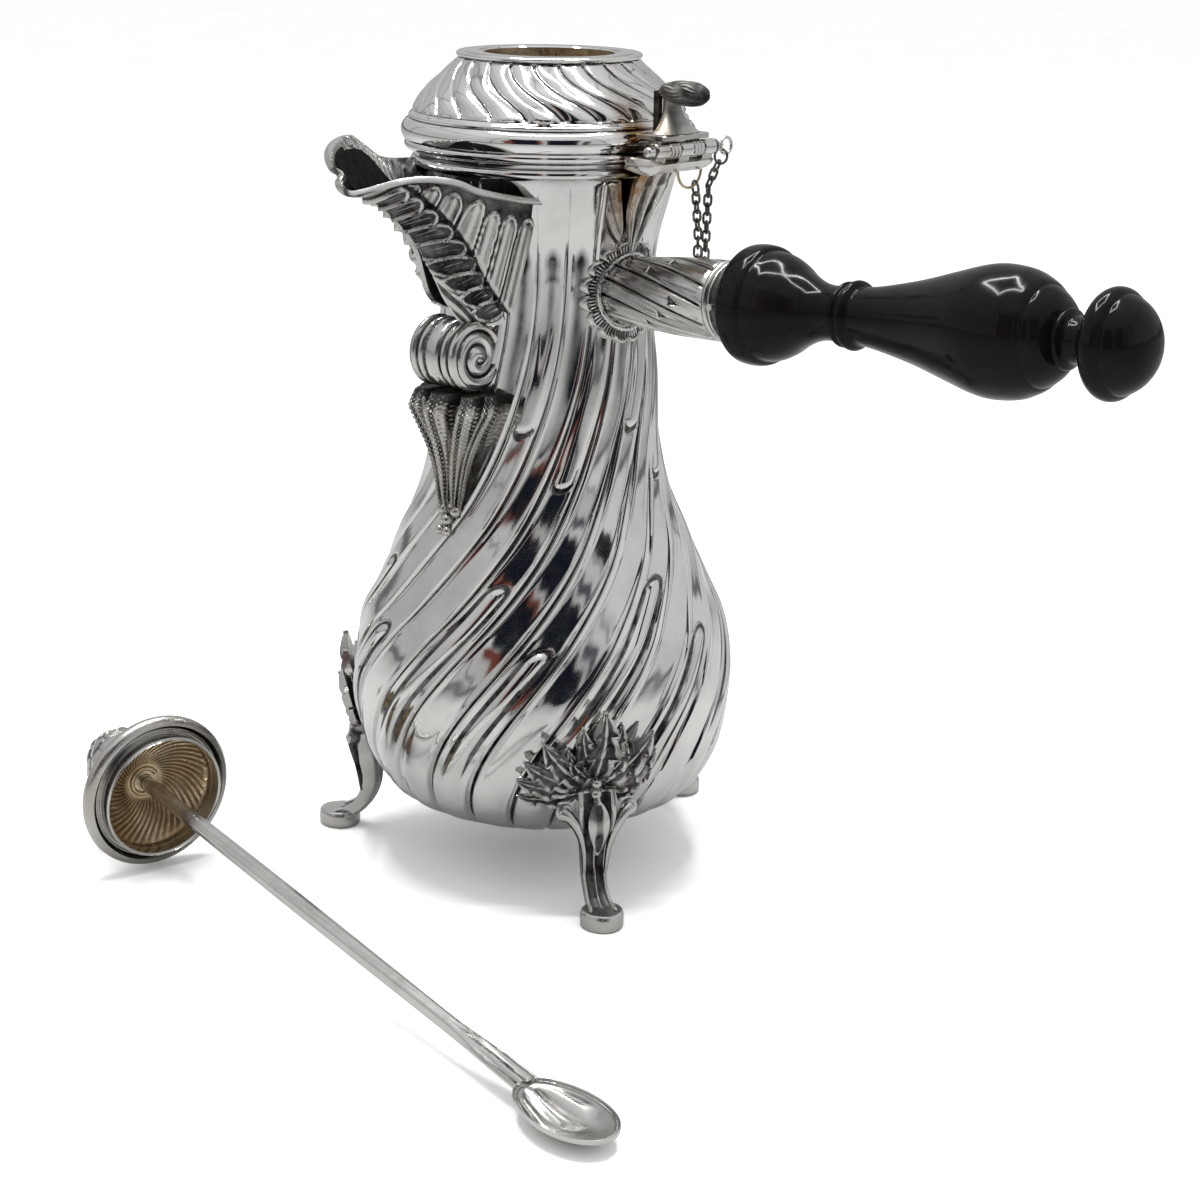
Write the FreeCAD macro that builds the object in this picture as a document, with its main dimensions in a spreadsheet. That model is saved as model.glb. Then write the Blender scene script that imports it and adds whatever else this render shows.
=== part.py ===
"""A rococo silver chocolate pot with a side handle, and its stirrer laid beside it.

Millimetres.  +Z is up and the table is Z = 0.  The pot's own axis is the Z axis, the handle
points along +X and the spout along -Y.  The three feet stand at -30, 90 and 210 degrees.
"""
import FreeCAD, Part
import math
import os

import Sketcher

V = FreeCAD.Vector
UP = V(0, 0, 1)
ALONG_Y = V(0, 1, 0)

doc = FreeCAD.newDocument("chocolate_pot")
sheet = doc.addObject("Spreadsheet::Sheet", "Dimensions")

DRIVING = {
    # pear-shaped vessel
    "wall": 1.2,
    "base_height": 8.0,
    "base_radius": 10.0,
    "belly_height": 48.0,
    "belly_radius": 46.8,
    "neck_height": 140.0,
    "neck_radius": 25.7,
    "shoulder_height": 172.5,
    "mouth_radius": 30.8,
    "mouth_height": 179.5,
    "seam_gap": 0.05,
    "window_half_width": 11.0,
    "window_bottom": 150.0,
    "window_top": 170.0,
    # neck ring and lid
    "ring_radius": 34.6,
    "lid_base": 179.9,
    "rim_radius": 35.4,
    "rim_top": 185.0,
    "lid_foot_radius": 32.3,
    "lid_top": 200.0,
    "lid_top_radius": 21.6,
    "opening_radius": 15.6,
    "opening_depth": 5.0,
    "lid_wall": 1.0,
    "bezel_clearance": 0.5,
    "bezel_depth": 4.0,
    # hinge
    "hinge_reach": 42.5,
    "hinge_height": 181.0,
    "barrel_radius": 1.8,
    "pin_radius": 1.15,
    "pin_clearance": 0.05,
    "knuckle_pitch": 4.0,
    "knuckle_gap": 0.2,
    "bracket_half_width": 10.5,
    "plate_half_width": 8.0,
    "tongue_half_width": 4.0,
    "pin_half_length": 12.4,
    "eye_reach": 15.0,
    "eye_radius": 1.9,
    "eye_wire": 0.36,
    # handle
    "handle_height": 145.5,
    "handle_rise": 2.6,
    "socket_start": 20.0,
    "socket_end": 57.0,
    "ferrule_end": 63.6,
    "ferrule_radius": 9.5,
    "tenon_radius": 6.3,
    "grip_end": 168.0,
    "pear_radius": 14.2,
    "rivet_radius": 0.8,
    "rivet_reach": 60.2,
    "rosette_radius": 12.8,
    "rosette_bore": 8.4,
    # feet
    "toe_reach": 59.3,
    "toe_half_width": 4.6,
    "toe_length": 10.0,
    "toe_thickness": 4.2,
    "leg_half_width": 3.4,
    "leaf_radius": 14.0,
    "leaf_height": 38.5,
    "leaf_relief": 3.2,
    # scroll under the spout
    "scroll_reach": 30.4,
    "scroll_height": 131.9,
    "scroll_radius": 8.5,
    "scroll_half_width": 7.8,
    # chain
    "wire": 0.6,
    "link_length": 3.4,
    "link_width": 2.3,
    "link_pitch": 2.1,
    "jump_radius": 1.7,
    "bail_wire": 0.64,
    # stirrer
    "cap_radius": 20.1,
    "collar_radius": 15.2,
    "collar_height": 4.5,
    "cap_wall": 1.0,
    "rod_radius": 1.9,
    "rod_length": 157.0,
    "bowl_length": 29.0,
    "bowl_width": 17.0,
}


class Size:
    """A length together with the spreadsheet expression that drives it."""

    def __init__(self, value, text):
        self.value = value
        self.text = text

    def __add__(self, other):
        other = as_size(other)
        return Size(self.value + other.value, f"({self.text} + {other.text})")

    def __sub__(self, other):
        other = as_size(other)
        return Size(self.value - other.value, f"({self.text} - {other.text})")

    def __mul__(self, factor):
        return Size(self.value * factor, f"({self.text} * {factor})")


def as_size(number):
    return number if isinstance(number, Size) else Size(float(number), str(float(number)))


def fill_sheet():
    for row, (alias, number) in enumerate(DRIVING.items(), start=1):
        sheet.set(f"A{row}", alias)
        sheet.set(f"B{row}", str(number))
        sheet.setAlias(f"B{row}", alias)
    doc.recompute()


def dim(alias):
    return Size(float(sheet.get(alias)), f"Dimensions.{alias}")


def bind(thing, **sizes):
    """Sets properties of an object and ties each to its cell."""
    for name, number in sizes.items():
        number = as_size(number)
        setattr(thing, name, number.value)
        thing.setExpression(name, number.text)
    return thing


nodes = {}


def keep(thing, label):
    """Names a finished sub-part; its label is its file's name."""
    thing.Label = label
    nodes[label] = thing
    return thing


# ---------------------------------------------------------------- shared builders

def attached_sketch(body, role, name):
    sketch = body.newObject("Sketcher::SketchObject", name)
    plane = next(f for f in body.Origin.OriginFeatures if f.Role == role)
    sketch.AttachmentSupport = [(plane, "")]
    sketch.MapMode = "FlatFace"
    return sketch


def profile_edge(start, end, through):
    """A line, an arc through one point, or a smooth curve through several."""
    flat = [V(point[0], point[1], 0) for point in (start, *through, end)]
    if len(flat) == 2:
        return Part.LineSegment(flat[0], flat[1])
    if len(flat) == 3:
        return Part.Arc(*flat)
    curve = Part.BSplineCurve()
    curve.interpolate(flat)
    return curve


def pin_coordinate(sketch, direction, edge, end, number):
    """Dimensions one coordinate of an edge's end from the sketch's origin."""
    axis = -2 if direction == "DistanceX" else -1
    if abs(number.value) < 1e-9:
        sketch.addConstraint(Sketcher.Constraint("PointOnObject", edge, end, axis))
        return
    points = (-1, 1, edge, end) if number.value > 0 else (edge, end, -1, 1)
    text = number.text if number.value > 0 else f"0 - ({number.text})"
    index = sketch.addConstraint(Sketcher.Constraint(direction, *points, abs(number.value)))
    sketch.setExpression(f"Constraints[{index}]", text)


def end_numbers(start, end, through):
    """Which of an edge's ends the sketch counts as first: an arc always runs anticlockwise there."""
    if len(through) != 1:
        return 1, 2
    middle = through[0]
    turn = (middle[0] - start[0]) * (end[1] - middle[1]) - (middle[1] - start[1]) * (end[0] - middle[0])
    return (1, 2) if turn > 0 else (2, 1)


def lathe(label, outline):
    """A turned piece.  outline is a closed list of (radius, height, through): through holds
    the points that the edge arriving at this corner passes, and is left out for a line."""
    body = doc.addObject("PartDesign::Body", label)
    sketch = attached_sketch(body, "XZ_Plane", label + "_profile")
    corners = [(as_size(corner[0]), as_size(corner[1])) for corner in outline]
    count = len(corners)
    ends = []
    for i in range(count):
        start = [size.value for size in corners[i]]
        end = [size.value for size in corners[(i + 1) % count]]
        arriving = outline[(i + 1) % count]
        through = arriving[2] if len(arriving) > 2 else []
        sketch.addGeometry(profile_edge(start, end, through), False)
        ends.append(end_numbers(start, end, through))
    for i in range(count):
        following = (i + 1) % count
        sketch.addConstraint(Sketcher.Constraint("Coincident", i, ends[i][1], following, ends[following][0]))
        pin_coordinate(sketch, "DistanceX", i, ends[i][0], corners[i][0])
        pin_coordinate(sketch, "DistanceY", i, ends[i][0], corners[i][1])
    turned = body.newObject("PartDesign::Revolution", label + "_turned")
    turned.Profile = sketch
    turned.ReferenceAxis = (sketch, ["V_Axis"])
    turned.Angle = 360
    doc.recompute()
    return body


def primitive(kind, label, place=None, **sizes):
    thing = doc.addObject("Part::" + kind, label)
    bind(thing, **sizes)
    if place:
        thing.Placement = place
    return thing


def cut(label, base, *tools):
    for i, tool in enumerate(tools):
        result = doc.addObject("Part::Cut", label if i == len(tools) - 1 else f"{label}_cut{i}")
        result.Base, result.Tool = base, tool
        base = result
    return base


def fuse(label, *pieces):
    result = doc.addObject("Part::MultiFuse", label)
    result.Shapes = list(pieces)
    return result


def common(label, *pieces):
    result = doc.addObject("Part::MultiCommon", label)
    result.Shapes = list(pieces)
    return result


def extruded(label, points, direction):
    """A closed flat outline pushed along a direction."""
    outline = doc.addObject("Part::Polygon", label + "_outline")
    outline.Nodes = points
    outline.Close = True
    solid = doc.addObject("Part::Extrusion", label)
    solid.Base = outline
    solid.DirMode = "Custom"
    solid.Dir = V(direction).normalize()
    solid.LengthFwd = direction.Length
    solid.Solid = True
    return solid


def prism(label, side, low, high):
    """A side view drawn in the XZ plane and given a width from Y = low to Y = high."""
    return extruded(label, [V(x, low, z) for x, z in side], V(0, high - low, 0))


def turned_about_z(degrees):
    return FreeCAD.Placement(V(0, 0, 0), FreeCAD.Rotation(UP, degrees))


# ---------------------------------------------------------------- vessel

def pear_points(offset=0.0):
    """The vessel's outline from its base to its shoulder, moved outwards by offset."""
    base = (dim("base_radius").value, dim("base_height").value)
    belly = (dim("belly_radius").value, dim("belly_height").value)
    neck = (dim("neck_radius").value, dim("neck_height").value)
    top = (dim("mouth_radius").value, dim("shoulder_height").value)
    line = [base, (29.2, 15.8), (39.0, 22.2), (44.4, 33.0), belly, (44.1, 64.0), (37.7, 80.0),
            (30.3, 96.0), (27.2, 112.0), neck, (26.0, 153.6), (28.7, 165.0), top]
    moved = []
    for i, (radius, height) in enumerate(line):
        before = line[max(i - 1, 0)]
        after = line[min(i + 1, len(line) - 1)]
        run = math.hypot(after[0] - before[0], after[1] - before[1])
        moved.append((radius + offset * (after[1] - before[1]) / run,
                      height - offset * (after[0] - before[0]) / run))
    return moved


def ring_outline(gap=0.0):
    """The neck ring's mouldings, from under its lower band to the seat of the lid."""
    edge = dim("ring_radius").value + gap
    return [(edge - 2.6, 173.8), (edge - 1.9, 175.1), (edge - 2.4, 176.2), (edge - 1.2, 177.3),
            (edge, 178.4), (edge - 1.0, 179.5)]


def window_sketch(body):
    """The oblong hole behind the spout, seen along the spout."""
    sketch = attached_sketch(body, "XZ_Plane", "pouring_window")
    right, low, high = dim("window_half_width"), dim("window_bottom"), dim("window_top")
    left = right * -1
    corners = [(left, low), (right, low), (right, high), (left, high)]
    for i, (across, up) in enumerate(corners):
        following = corners[(i + 1) % len(corners)]
        start, end = V(across.value, up.value, 0), V(following[0].value, following[1].value, 0)
        sketch.addGeometry(Part.LineSegment(start, end), False)
    for i, (across, up) in enumerate(corners):
        sketch.addConstraint(Sketcher.Constraint("Coincident", i, 2, (i + 1) % len(corners), 1))
        pin_coordinate(sketch, "DistanceX", i, 1, across)
        pin_coordinate(sketch, "DistanceY", i, 1, up)
    return sketch


def vessel():
    outer, inner = pear_points(), pear_points(-dim("wall").value)
    mouth, wall, top = dim("mouth_radius"), dim("wall"), dim("mouth_height")
    outline = [
        (0, dim("base_height")),
        (dim("base_radius"), dim("base_height")),
        (mouth, dim("shoulder_height"), outer[1:-1]),
        (mouth, top),
        (mouth - wall, top),
        (mouth - wall, dim("shoulder_height")),
        (dim("base_radius"), dim("base_height") + wall, inner[-2:0:-1]),
        (0, dim("base_height") + wall),
    ]
    body = lathe("body_shell", outline)
    before = body.Shape.Volume
    pocket = body.newObject("PartDesign::Pocket", "pouring_hole")
    pocket.Profile = window_sketch(body)
    pocket.Reversed = True
    bind(pocket, Length=dim("rim_radius") * 2)
    doc.recompute()
    assert body.Shape.Volume < before - 100, "the pouring hole cut nothing"
    return keep(body, "body_shell")


def envelope(label, offset):
    """A solid of the vessel and its neck ring, grown by offset: what is soldered on is cut to it."""
    pear = [V(r, 0, z) for r, z in pear_points(offset)]
    side = Part.BSplineCurve()
    side.interpolate(pear)
    ring = [V(r, 0, z) for r, z in ring_outline(offset)]
    low, high = V(0, 0, pear[0].z), V(0, 0, ring[-1].z)
    corners = [pear[-1], *ring, high, low, pear[0]]
    edges = [side.toShape()]
    edges += [Part.makeLine(a, b) for a, b in zip(corners, corners[1:])]
    face = Part.Face(Part.Wire(edges))
    solid = doc.addObject("Part::Feature", label)
    solid.Shape = face.revolve(V(0, 0, 0), UP, 360)
    return solid


def neck_ring():
    inner = dim("mouth_radius") + dim("seam_gap")
    edge, top = dim("ring_radius"), dim("mouth_height")
    outline = [
        (inner, 173.3),
        (edge - 2.8, 173.5),
        (edge - 2.4, 176.2, [(edge.value - 1.9, 174.9)]),
        (edge - 1.2, 177.2),
        (edge - 0.9, top, [(edge.value, 178.4)]),
        (inner, top),
    ]
    return keep(lathe("neck_ring", outline), "neck_ring")


# ---------------------------------------------------------------- spout

# The spout is drawn pointing along +X, with the handle's side at +Y, and is turned afterwards.
# Side views (reach, height): one keel, a low rim on the handle's side and a high one on the other.
KEEL = [(18, 141), (34.5, 143), (38.5, 150), (44, 158.5), (55.9, 170), (63, 172.4)]
LOW_RIM = [(68.3, 176.4), (65.5, 175.0), (56, 174.5), (47.9, 174.7), (38.8, 171.7), (24, 168.5), (18, 168)]
HIGH_RIM = [(68.3, 176.4), (68.3, 180.0), (66, 184.5), (60.5, 184), (51.3, 179), (42.9, 176),
            (24, 175), (18, 175)]
KEEL_INSIDE = [(17, 143.2), (33.4, 145), (37.2, 151.6), (42.6, 160), (54.8, 171.9), (62, 174.2), (66.6, 176)]
# The view from above (reach, side), and the V of the view from the front (side, height).
PLAN = [(18, 19.5), (38.8, 17), (47.9, 13), (56, 9.5), (66, 6), (68.3, 2), (68.3, -1), (62, -5),
        (51.3, -7.5), (42.9, -12), (33, -16.5), (18, -19.5)]
PLAN_INSIDE = [(17, 18), (38.2, 15.6), (47.2, 11.7), (55.5, 8.1), (65, 4.9), (66.9, 1.6), (66.9, -0.4),
               (61.5, -3.5), (50.8, -6.1), (42.2, -10.7), (32.6, -15), (17, -18)]
FRONT = [(-3, 140), (3, 140), (19.5, 168.5), (19.5, 187), (-19.5, 187), (-19.5, 168.5)]
FRONT_INSIDE = [(-1.6, 140), (1.6, 140), (18, 168.5), (18, 190), (-18, 190), (-18, 168.5)]


def spout_block(label, side, plan, front, low, high):
    """What three views of the spout have in common, between two sides."""
    upright = extruded(label + "_plan", [V(x, y, 138) for x, y in plan], V(0, 0, 55))
    endways = extruded(label + "_front", [V(15, y, z) for y, z in front], V(60, 0, 0))
    return common(label, prism(label + "_view", side, low, high), upright, endways)


def spout(tool):
    near = spout_block("spout_near", KEEL + LOW_RIM, PLAN, FRONT, 0, 25)
    far = spout_block("spout_far", KEEL + HIGH_RIM, PLAN, FRONT, -25, 0)
    hollow_side = KEEL_INSIDE + [(66.6, 195), (17, 195)]
    hollow = spout_block("spout_hollow", hollow_side, PLAN_INSIDE, FRONT_INSIDE, -25, 25)
    walls = cut("spout_walls", fuse("spout_outside", near, far), hollow)
    walls.Placement = turned_about_z(-90)
    return keep(cut("spout", walls, tool), "spout")


def spout_scroll(tool):
    half = dim("scroll_half_width")
    lying = FreeCAD.Rotation(ALONG_Y, 90)
    place = FreeCAD.Placement(V(-half.value, -dim("scroll_reach").value, dim("scroll_height").value), lying)
    roll = primitive("Cylinder", "scroll_roll", place, Radius=dim("scroll_radius"), Height=half * 2)
    return keep(cut("spout_scroll", roll, tool), "spout_scroll")


def spout_leaf(tool):
    """An acanthus leaf below the scroll that narrows to a cluster of berries."""
    side = [(22, 123.3), (38.6, 123.3), (40.2, 119.0), (37.8, 112.8), (36.7, 105.0), (34.0, 92.5), (22, 92.5)]
    blade = prism("leaf_blade", side, -12, 12)
    front = [V(0, -9.6, 126), V(0, 9.6, 126), V(0, 3.0, 92), V(0, -3.0, 92)]
    taper = extruded("leaf_taper", front, V(60, 0, 0))
    leaf = common("leaf_common", blade, taper)
    leaf.Placement = turned_about_z(-90)
    return keep(cut("spout_leaf", leaf, tool), "spout_leaf")


# ---------------------------------------------------------------- feet

THROUGH = 60.0  # longer than anything it cuts


def foot(label, degrees, tool, relief):
    """A cast foot: toe, S-shaped leg and the leaf spray by which it is soldered to the belly."""
    reach, half = dim("toe_reach"), dim("toe_half_width")
    side = [(49.5, 0), (59.3, 0), (59.3, 4.2), (55.6, 6.9), (51.8, 5.6), (48.6, 8.2), (47.4, 13.5),
            (49.0, 20.0), (51.5, 27.0), (40.0, 30.0), (41.6, 18.0), (42.0, 10.5), (44.8, 3.6)]
    leg = prism(label + "_leg", side, -dim("leg_half_width").value, dim("leg_half_width").value)
    toe = primitive("Box", label + "_toe", Length=dim("toe_length"), Width=half * 2,
                    Height=dim("toe_thickness"))
    toe.Placement.Base = V(reach.value - dim("toe_length").value, -half.value, 0)
    inside_belly = V(30, 0, dim("leaf_height").value)
    facing = FreeCAD.Placement(inside_belly, FreeCAD.Rotation(ALONG_Y, 90))
    disc = primitive("Cylinder", label + "_disc", facing, Radius=dim("leaf_radius"), Height=THROUGH)
    spray = common(label + "_spray", disc, relief)
    whole = fuse(label + "_whole", leg, toe, spray)
    trimmed = cut(label, whole, tool)
    trimmed.Placement = turned_about_z(degrees)
    return keep(trimmed, label)


# ---------------------------------------------------------------- handle

SOLDERED = 0.02  # the gap left between pieces that are fixed to each other


def handle_place():
    tilt = FreeCAD.Rotation(ALONG_Y, 90 - dim("handle_rise").value)
    return FreeCAD.Placement(V(0, 0, dim("handle_height").value), tilt)


def on_handle(body):
    body.Placement = handle_place()
    body.setExpression("Placement.Base.z", "Dimensions.handle_height")
    return body


def rivet_hole(label, grow):
    """A cylinder across the handle, towards -Y, through the ferrule and the grip's tenon."""
    hole = primitive("Cylinder", label, None, Radius=dim("rivet_radius") + grow, Height=THROUGH)
    along = handle_place().multVec(V(0, 0, dim("rivet_reach").value))
    hole.Placement = FreeCAD.Placement(along + V(0, THROUGH / 2, 0), FreeCAD.Rotation(V(1, 0, 0), 90))
    return hole


def handle(tool, relief):
    bore = dim("tenon_radius") + dim("seam_gap")
    start, end = dim("socket_start"), dim("socket_end")
    tube = lathe("socket_tube", [(bore, start), (7.8, start), (8.85, 45), (9.05, end), (bore, end)])
    socket = cut("handle_socket", on_handle(tube), tool)
    keep(socket, "handle_socket")

    collar_tube = primitive("Cylinder", "collar_disc", handle_place(), Radius=dim("rosette_radius"),
                            Height=THROUGH)
    clearance = primitive("Cylinder", "collar_bore", handle_place(), Radius=dim("rosette_bore"),
                          Height=THROUGH)
    saddle = common("collar_saddle", collar_tube, relief)
    keep(cut("socket_rosette", saddle, clearance, tool), "socket_rosette")

    rim = dim("ferrule_radius")
    ferrule_outline = [(bore, end), (rim - 0.6, end), (rim - 0.6, end + 4, [(rim.value, end.value + 2)]),
                       (rim - 0.6, dim("ferrule_end"), [(rim.value - 0.1, end.value + 5.3)]),
                       (bore, dim("ferrule_end"))]
    ferrule = on_handle(lathe("ferrule_ring", ferrule_outline))
    keep(cut("socket_ferrule", ferrule, rivet_hole("ferrule_hole", SOLDERED)), "socket_ferrule")

    tenon, face = dim("tenon_radius"), dim("ferrule_end") + 0.1
    pear, tip = dim("pear_radius"), dim("grip_end")
    grip_outline = [
        (0, 36.0), (tenon, 36.0), (tenon, face), (11.6, face),
        (12.0, 75.0, [(13.6, 69.4)]),
        (6.1, 86.5, [(8.2, 79.8)]),
        (6.6, 91.8),
        (6.4, 95.6, [(7.8, 93.7)]),
        (pear, 131.7, [(9.3, 112.0), (12.9, 123.0)]),
        (7.4, 147.3, [(11.9, 141.4)]),
        (4.9, 149.4),
        (5.6, 151.8),
        (7.5, 166.0, [(11.6, 158.0)]),
        (1.5, tip, [(4.6, 167.4)]),
        (0, tip),
    ]
    grip = on_handle(lathe("grip_turning", grip_outline))
    keep(cut("handle_grip", grip, rivet_hole("grip_hole", SOLDERED)), "handle_grip")

    shank = rivet_hole("rivet_shank", 0.0)
    proud = 0.6
    bind(shank, Height=rim * 2 + 2 * proud)
    centre = handle_place().multVec(V(0, 0, dim("rivet_reach").value))
    shank.Placement.Base = centre + V(0, rim.value + proud, 0)
    keep(shank, "handle_rivet")


# ---------------------------------------------------------------- hinge

def hinge_place(along=0.0, lower=0.0):
    """A frame on the hinge's axis, whose Z runs along it, towards +Y."""
    centre = V(dim("hinge_reach").value, along, dim("hinge_height").value - lower)
    return FreeCAD.Placement(centre, FreeCAD.Rotation(V(1, 0, 0), -90))


def knuckle_starts(which):
    pitch = dim("knuckle_pitch").value
    return [pitch * (i - 2.5) for i in which]


def knuckles(label, which, root):
    """Barrel pieces of one leaf, each with a web to its root block."""
    pitch, gap = dim("knuckle_pitch").value, dim("knuckle_gap").value
    pieces = []
    for i, start in enumerate(knuckle_starts(which)):
        barrel = primitive("Cylinder", f"{label}_barrel{i}", hinge_place(start + gap / 2),
                           Radius=dim("barrel_radius"), Height=dim("knuckle_pitch") - dim("knuckle_gap"))
        web = prism(f"{label}_web{i}", root, start + gap / 2, start + pitch - gap / 2)
        pieces += [barrel, web]
    return pieces


def pin_bore(label):
    return primitive("Cylinder", label, hinge_place(-THROUGH / 2),
                     Radius=dim("pin_radius") + dim("pin_clearance"), Height=THROUGH)


def hinge(tool):
    x, z = dim("hinge_reach").value, dim("hinge_height").value
    block_side = [(34.9, 176.2), (41.0, 175.6), (43.4, 177.2), (43.4, 178.4), (41.9, 179.0), (34.9, 179.0)]
    block_half, tongue_half = dim("bracket_half_width").value, dim("tongue_half_width").value
    block = prism("bracket_block", block_side, -block_half, block_half)
    tongue_side = [(29.0, 166.0), (34.5, 173.0), (38.5, 176.4), (34.9, 178.6), (29, 178.6)]
    tongue = prism("bracket_tongue", tongue_side, -tongue_half, tongue_half)
    lower_root = [(x - 1.6, 178.5), (x + 0.9, 178.5), (x + 1.2, z), (x - 1.7, z)]
    body_leaf = fuse("bracket_whole", block, tongue, *knuckles("bracket", (0, 2, 4), lower_root))
    keep(cut("hinge_bracket", body_leaf, pin_bore("bracket_bore"), tool), "hinge_bracket")

    plate_half = dim("plate_half_width").value
    plate_side = [(34.4, 183.2), (x + 1.6, 183.2), (x + 1.6, 184.4), (34.4, 184.4)]
    plate = prism("lid_plate", plate_side, -plate_half, plate_half)
    upper_root = [(x - 1.7, z), (x + 1.2, z), (x + 1.2, 183.4), (x - 1.7, 183.4)]
    lid_leaf = fuse("lid_leaf_whole", plate, *knuckles("lid_leaf", (1, 3), upper_root))
    keep(cut("lid_hinge_leaf", lid_leaf, pin_bore("lid_bore"), lid_clearance()), "lid_hinge_leaf")

    half = dim("pin_half_length")
    shank = primitive("Cylinder", "pin_shank", hinge_place(-half.value), Radius=dim("pin_radius"),
                      Height=half * 2)
    taper = primitive("Cone", "pin_taper", hinge_place(half.value - 2.2), Radius1=1.6, Radius2=0.7, Height=3.2)
    eye = primitive("Torus", "pin_eye", hinge_place(dim("eye_reach").value, 0.3),
                    Radius1=dim("eye_radius"), Radius2=dim("eye_wire"))
    eye.Placement.Rotation = FreeCAD.Rotation(ALONG_Y, 90)
    keep(fuse("hinge_pin", shank, taper, eye), "hinge_pin")


def lid_clearance():
    """The lid rim's outside, which the hinge plate is cut to."""
    rim = dim("rim_radius").value + dim("seam_gap").value
    return primitive("Cylinder", "rim_envelope", FreeCAD.Placement(V(0, 0, 175), FreeCAD.Rotation()),
                     Radius=rim, Height=12)


# ---------------------------------------------------------------- lid

def lid():
    base, rim, top = dim("lid_base"), dim("rim_radius"), dim("rim_top")
    foot_radius, wall = dim("lid_foot_radius"), dim("lid_wall")
    seat = dim("mouth_radius") - dim("wall") - dim("bezel_clearance")
    rim_outline = [
        (seat + 0.02, base),
        (rim - 1.0, base),
        (rim - 1.4, top - 0.4, [(rim.value, base.value + 2.4)]),
        (foot_radius + 0.7, top),
        (foot_radius + 0.3, top + 1.4, [(foot_radius.value + 1.0, top.value + 0.7)]),
        (seat + 0.02, top + 1.4),
    ]
    keep(lathe("lid_rim", rim_outline), "lid_rim")

    bezel = [(seat - wall, base - dim("bezel_depth")), (seat, base - dim("bezel_depth")),
             (seat, top), (seat - wall, top)]
    keep(lathe("lid_bezel", bezel), "lid_bezel")

    crown, crown_radius = dim("lid_top"), dim("lid_top_radius")
    shoulder = top + 1.45
    dome = [
        (foot_radius, shoulder),
        (crown_radius, crown - 1.2, [(29.6, 189.6), (25.6, 194.2)]),
        (crown_radius - wall, crown - 1.2),
        (foot_radius - wall - 0.4, shoulder, [(24.6, 193.8), (28.4, 189.2)]),
    ]
    keep(lathe("lid_shell", dome), "lid_shell")

    opening, depth = dim("opening_radius"), dim("opening_depth")
    lip = [(opening, crown - depth), (opening + wall, crown - depth), (opening + wall, crown - 1.15),
           (crown_radius, crown - 1.15),
           (crown_radius, crown, [(crown_radius.value + 0.5, crown.value - 0.6)]), (opening, crown)]
    keep(lathe("lid_mouth_ring", lip), "lid_mouth_ring")

    stem_side = [(36.6, 184.45), (43.0, 184.45), (40.4, 188.0), (40.6, 191.6), (44.0, 193.0), (37.4, 194.2),
                 (37.8, 190.0)]
    stem = prism("thumb_stem", stem_side, -1.8, 1.8)
    lobe = primitive("Ellipsoid", "thumb_lobe", None, Radius1=1.9, Radius2=6.2, Radius3=4.4)
    lobe.Placement = FreeCAD.Placement(V(43.6, 0, 194.4), FreeCAD.Rotation(ALONG_Y, 3))
    keep(fuse("thumbpiece", stem, lobe), "thumbpiece")


# ---------------------------------------------------------------- safety chain

# Each strand hangs from its own ring; the two meet at the lowest link.
PIN_ROUTE = [V(42.2, 13.7, 178.3), V(39.7, 12.5, 171.5), V(38.9, 12.4, 138.0)]
BAIL_ROUTE = [V(39.2, 8.5, 171.1), V(38.9, 10.2, 160.0), V(38.9, 10.4, 138.0)]


def chain_link():
    """One oval link, standing along Z in the XZ plane."""
    radius = dim("wire").value / 2
    bend = dim("link_width").value / 2 - radius
    straight = dim("link_length").value / 2 - radius - bend
    ring_side = Part.makeCylinder(radius, 2 * straight, V(-bend, 0, -straight), UP)
    other_side = Part.makeCylinder(radius, 2 * straight, V(bend, 0, -straight), UP)
    upper = Part.makeTorus(bend, radius, V(0, 0, straight), ALONG_Y)
    lower = Part.makeTorus(bend, radius, V(0, 0, -straight), ALONG_Y)
    above = Part.makeBox(9, 9, 9, V(-4.5, -4.5, straight))
    below = Part.makeBox(9, 9, 9, V(-4.5, -4.5, -straight - 9))
    link = ring_side.fuse([other_side, upper.common(above), lower.common(below)])
    return link.removeSplitter()


def chain_strand(label, route):
    """A jump ring, then links along straight runs, each a quarter turn from the one above."""
    jump, radius, pitch = dim("jump_radius").value, dim("wire").value / 2, dim("link_pitch").value
    jump_ring = Part.makeTorus(jump, radius, V(0, 0, 0), ALONG_Y)
    link = chain_link()
    links = []
    travelled = 0.0
    for start, end in zip(route, route[1:]):
        run = end - start
        lean = FreeCAD.Rotation(UP, run)
        while travelled <= run.Length:
            piece = link.copy() if links else jump_ring
            twist = FreeCAD.Rotation(UP, 45 + 90 * (len(links) % 2))
            piece.Placement = FreeCAD.Placement(start + run * (travelled / run.Length), lean.multiply(twist))
            travelled += pitch if links else jump + pitch / 3
            links.append(piece)
        travelled -= run.Length
    strand = doc.addObject("Part::Feature", label)
    strand.Shape = Part.makeCompound(links)
    return keep(strand, label)


def chain():
    bail = primitive("Torus", "bail_ring", None, Radius1=4.0, Radius2=dim("bail_wire") * 0.5)
    bail.Placement = FreeCAD.Placement(V(39.2, 6.2, 175.4), FreeCAD.Rotation(ALONG_Y, 90))
    hidden = primitive("Box", "bail_trim", None, Length=12, Width=12, Height=8)
    hidden.Placement.Base = V(34, 0, 175.75)
    keep(cut("chain_bail", bail, hidden), "chain_bail")
    chain_strand("chain_pin_strand", PIN_ROUTE)
    chain_strand("chain_bail_strand", BAIL_ROUTE)


# ---------------------------------------------------------------- stirrer

STIRRER_SPOT = V(-53.5, -79.7, 20.0)
STIRRER_AXIS = V(0.98166, -0.16103, -0.10208)


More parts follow.
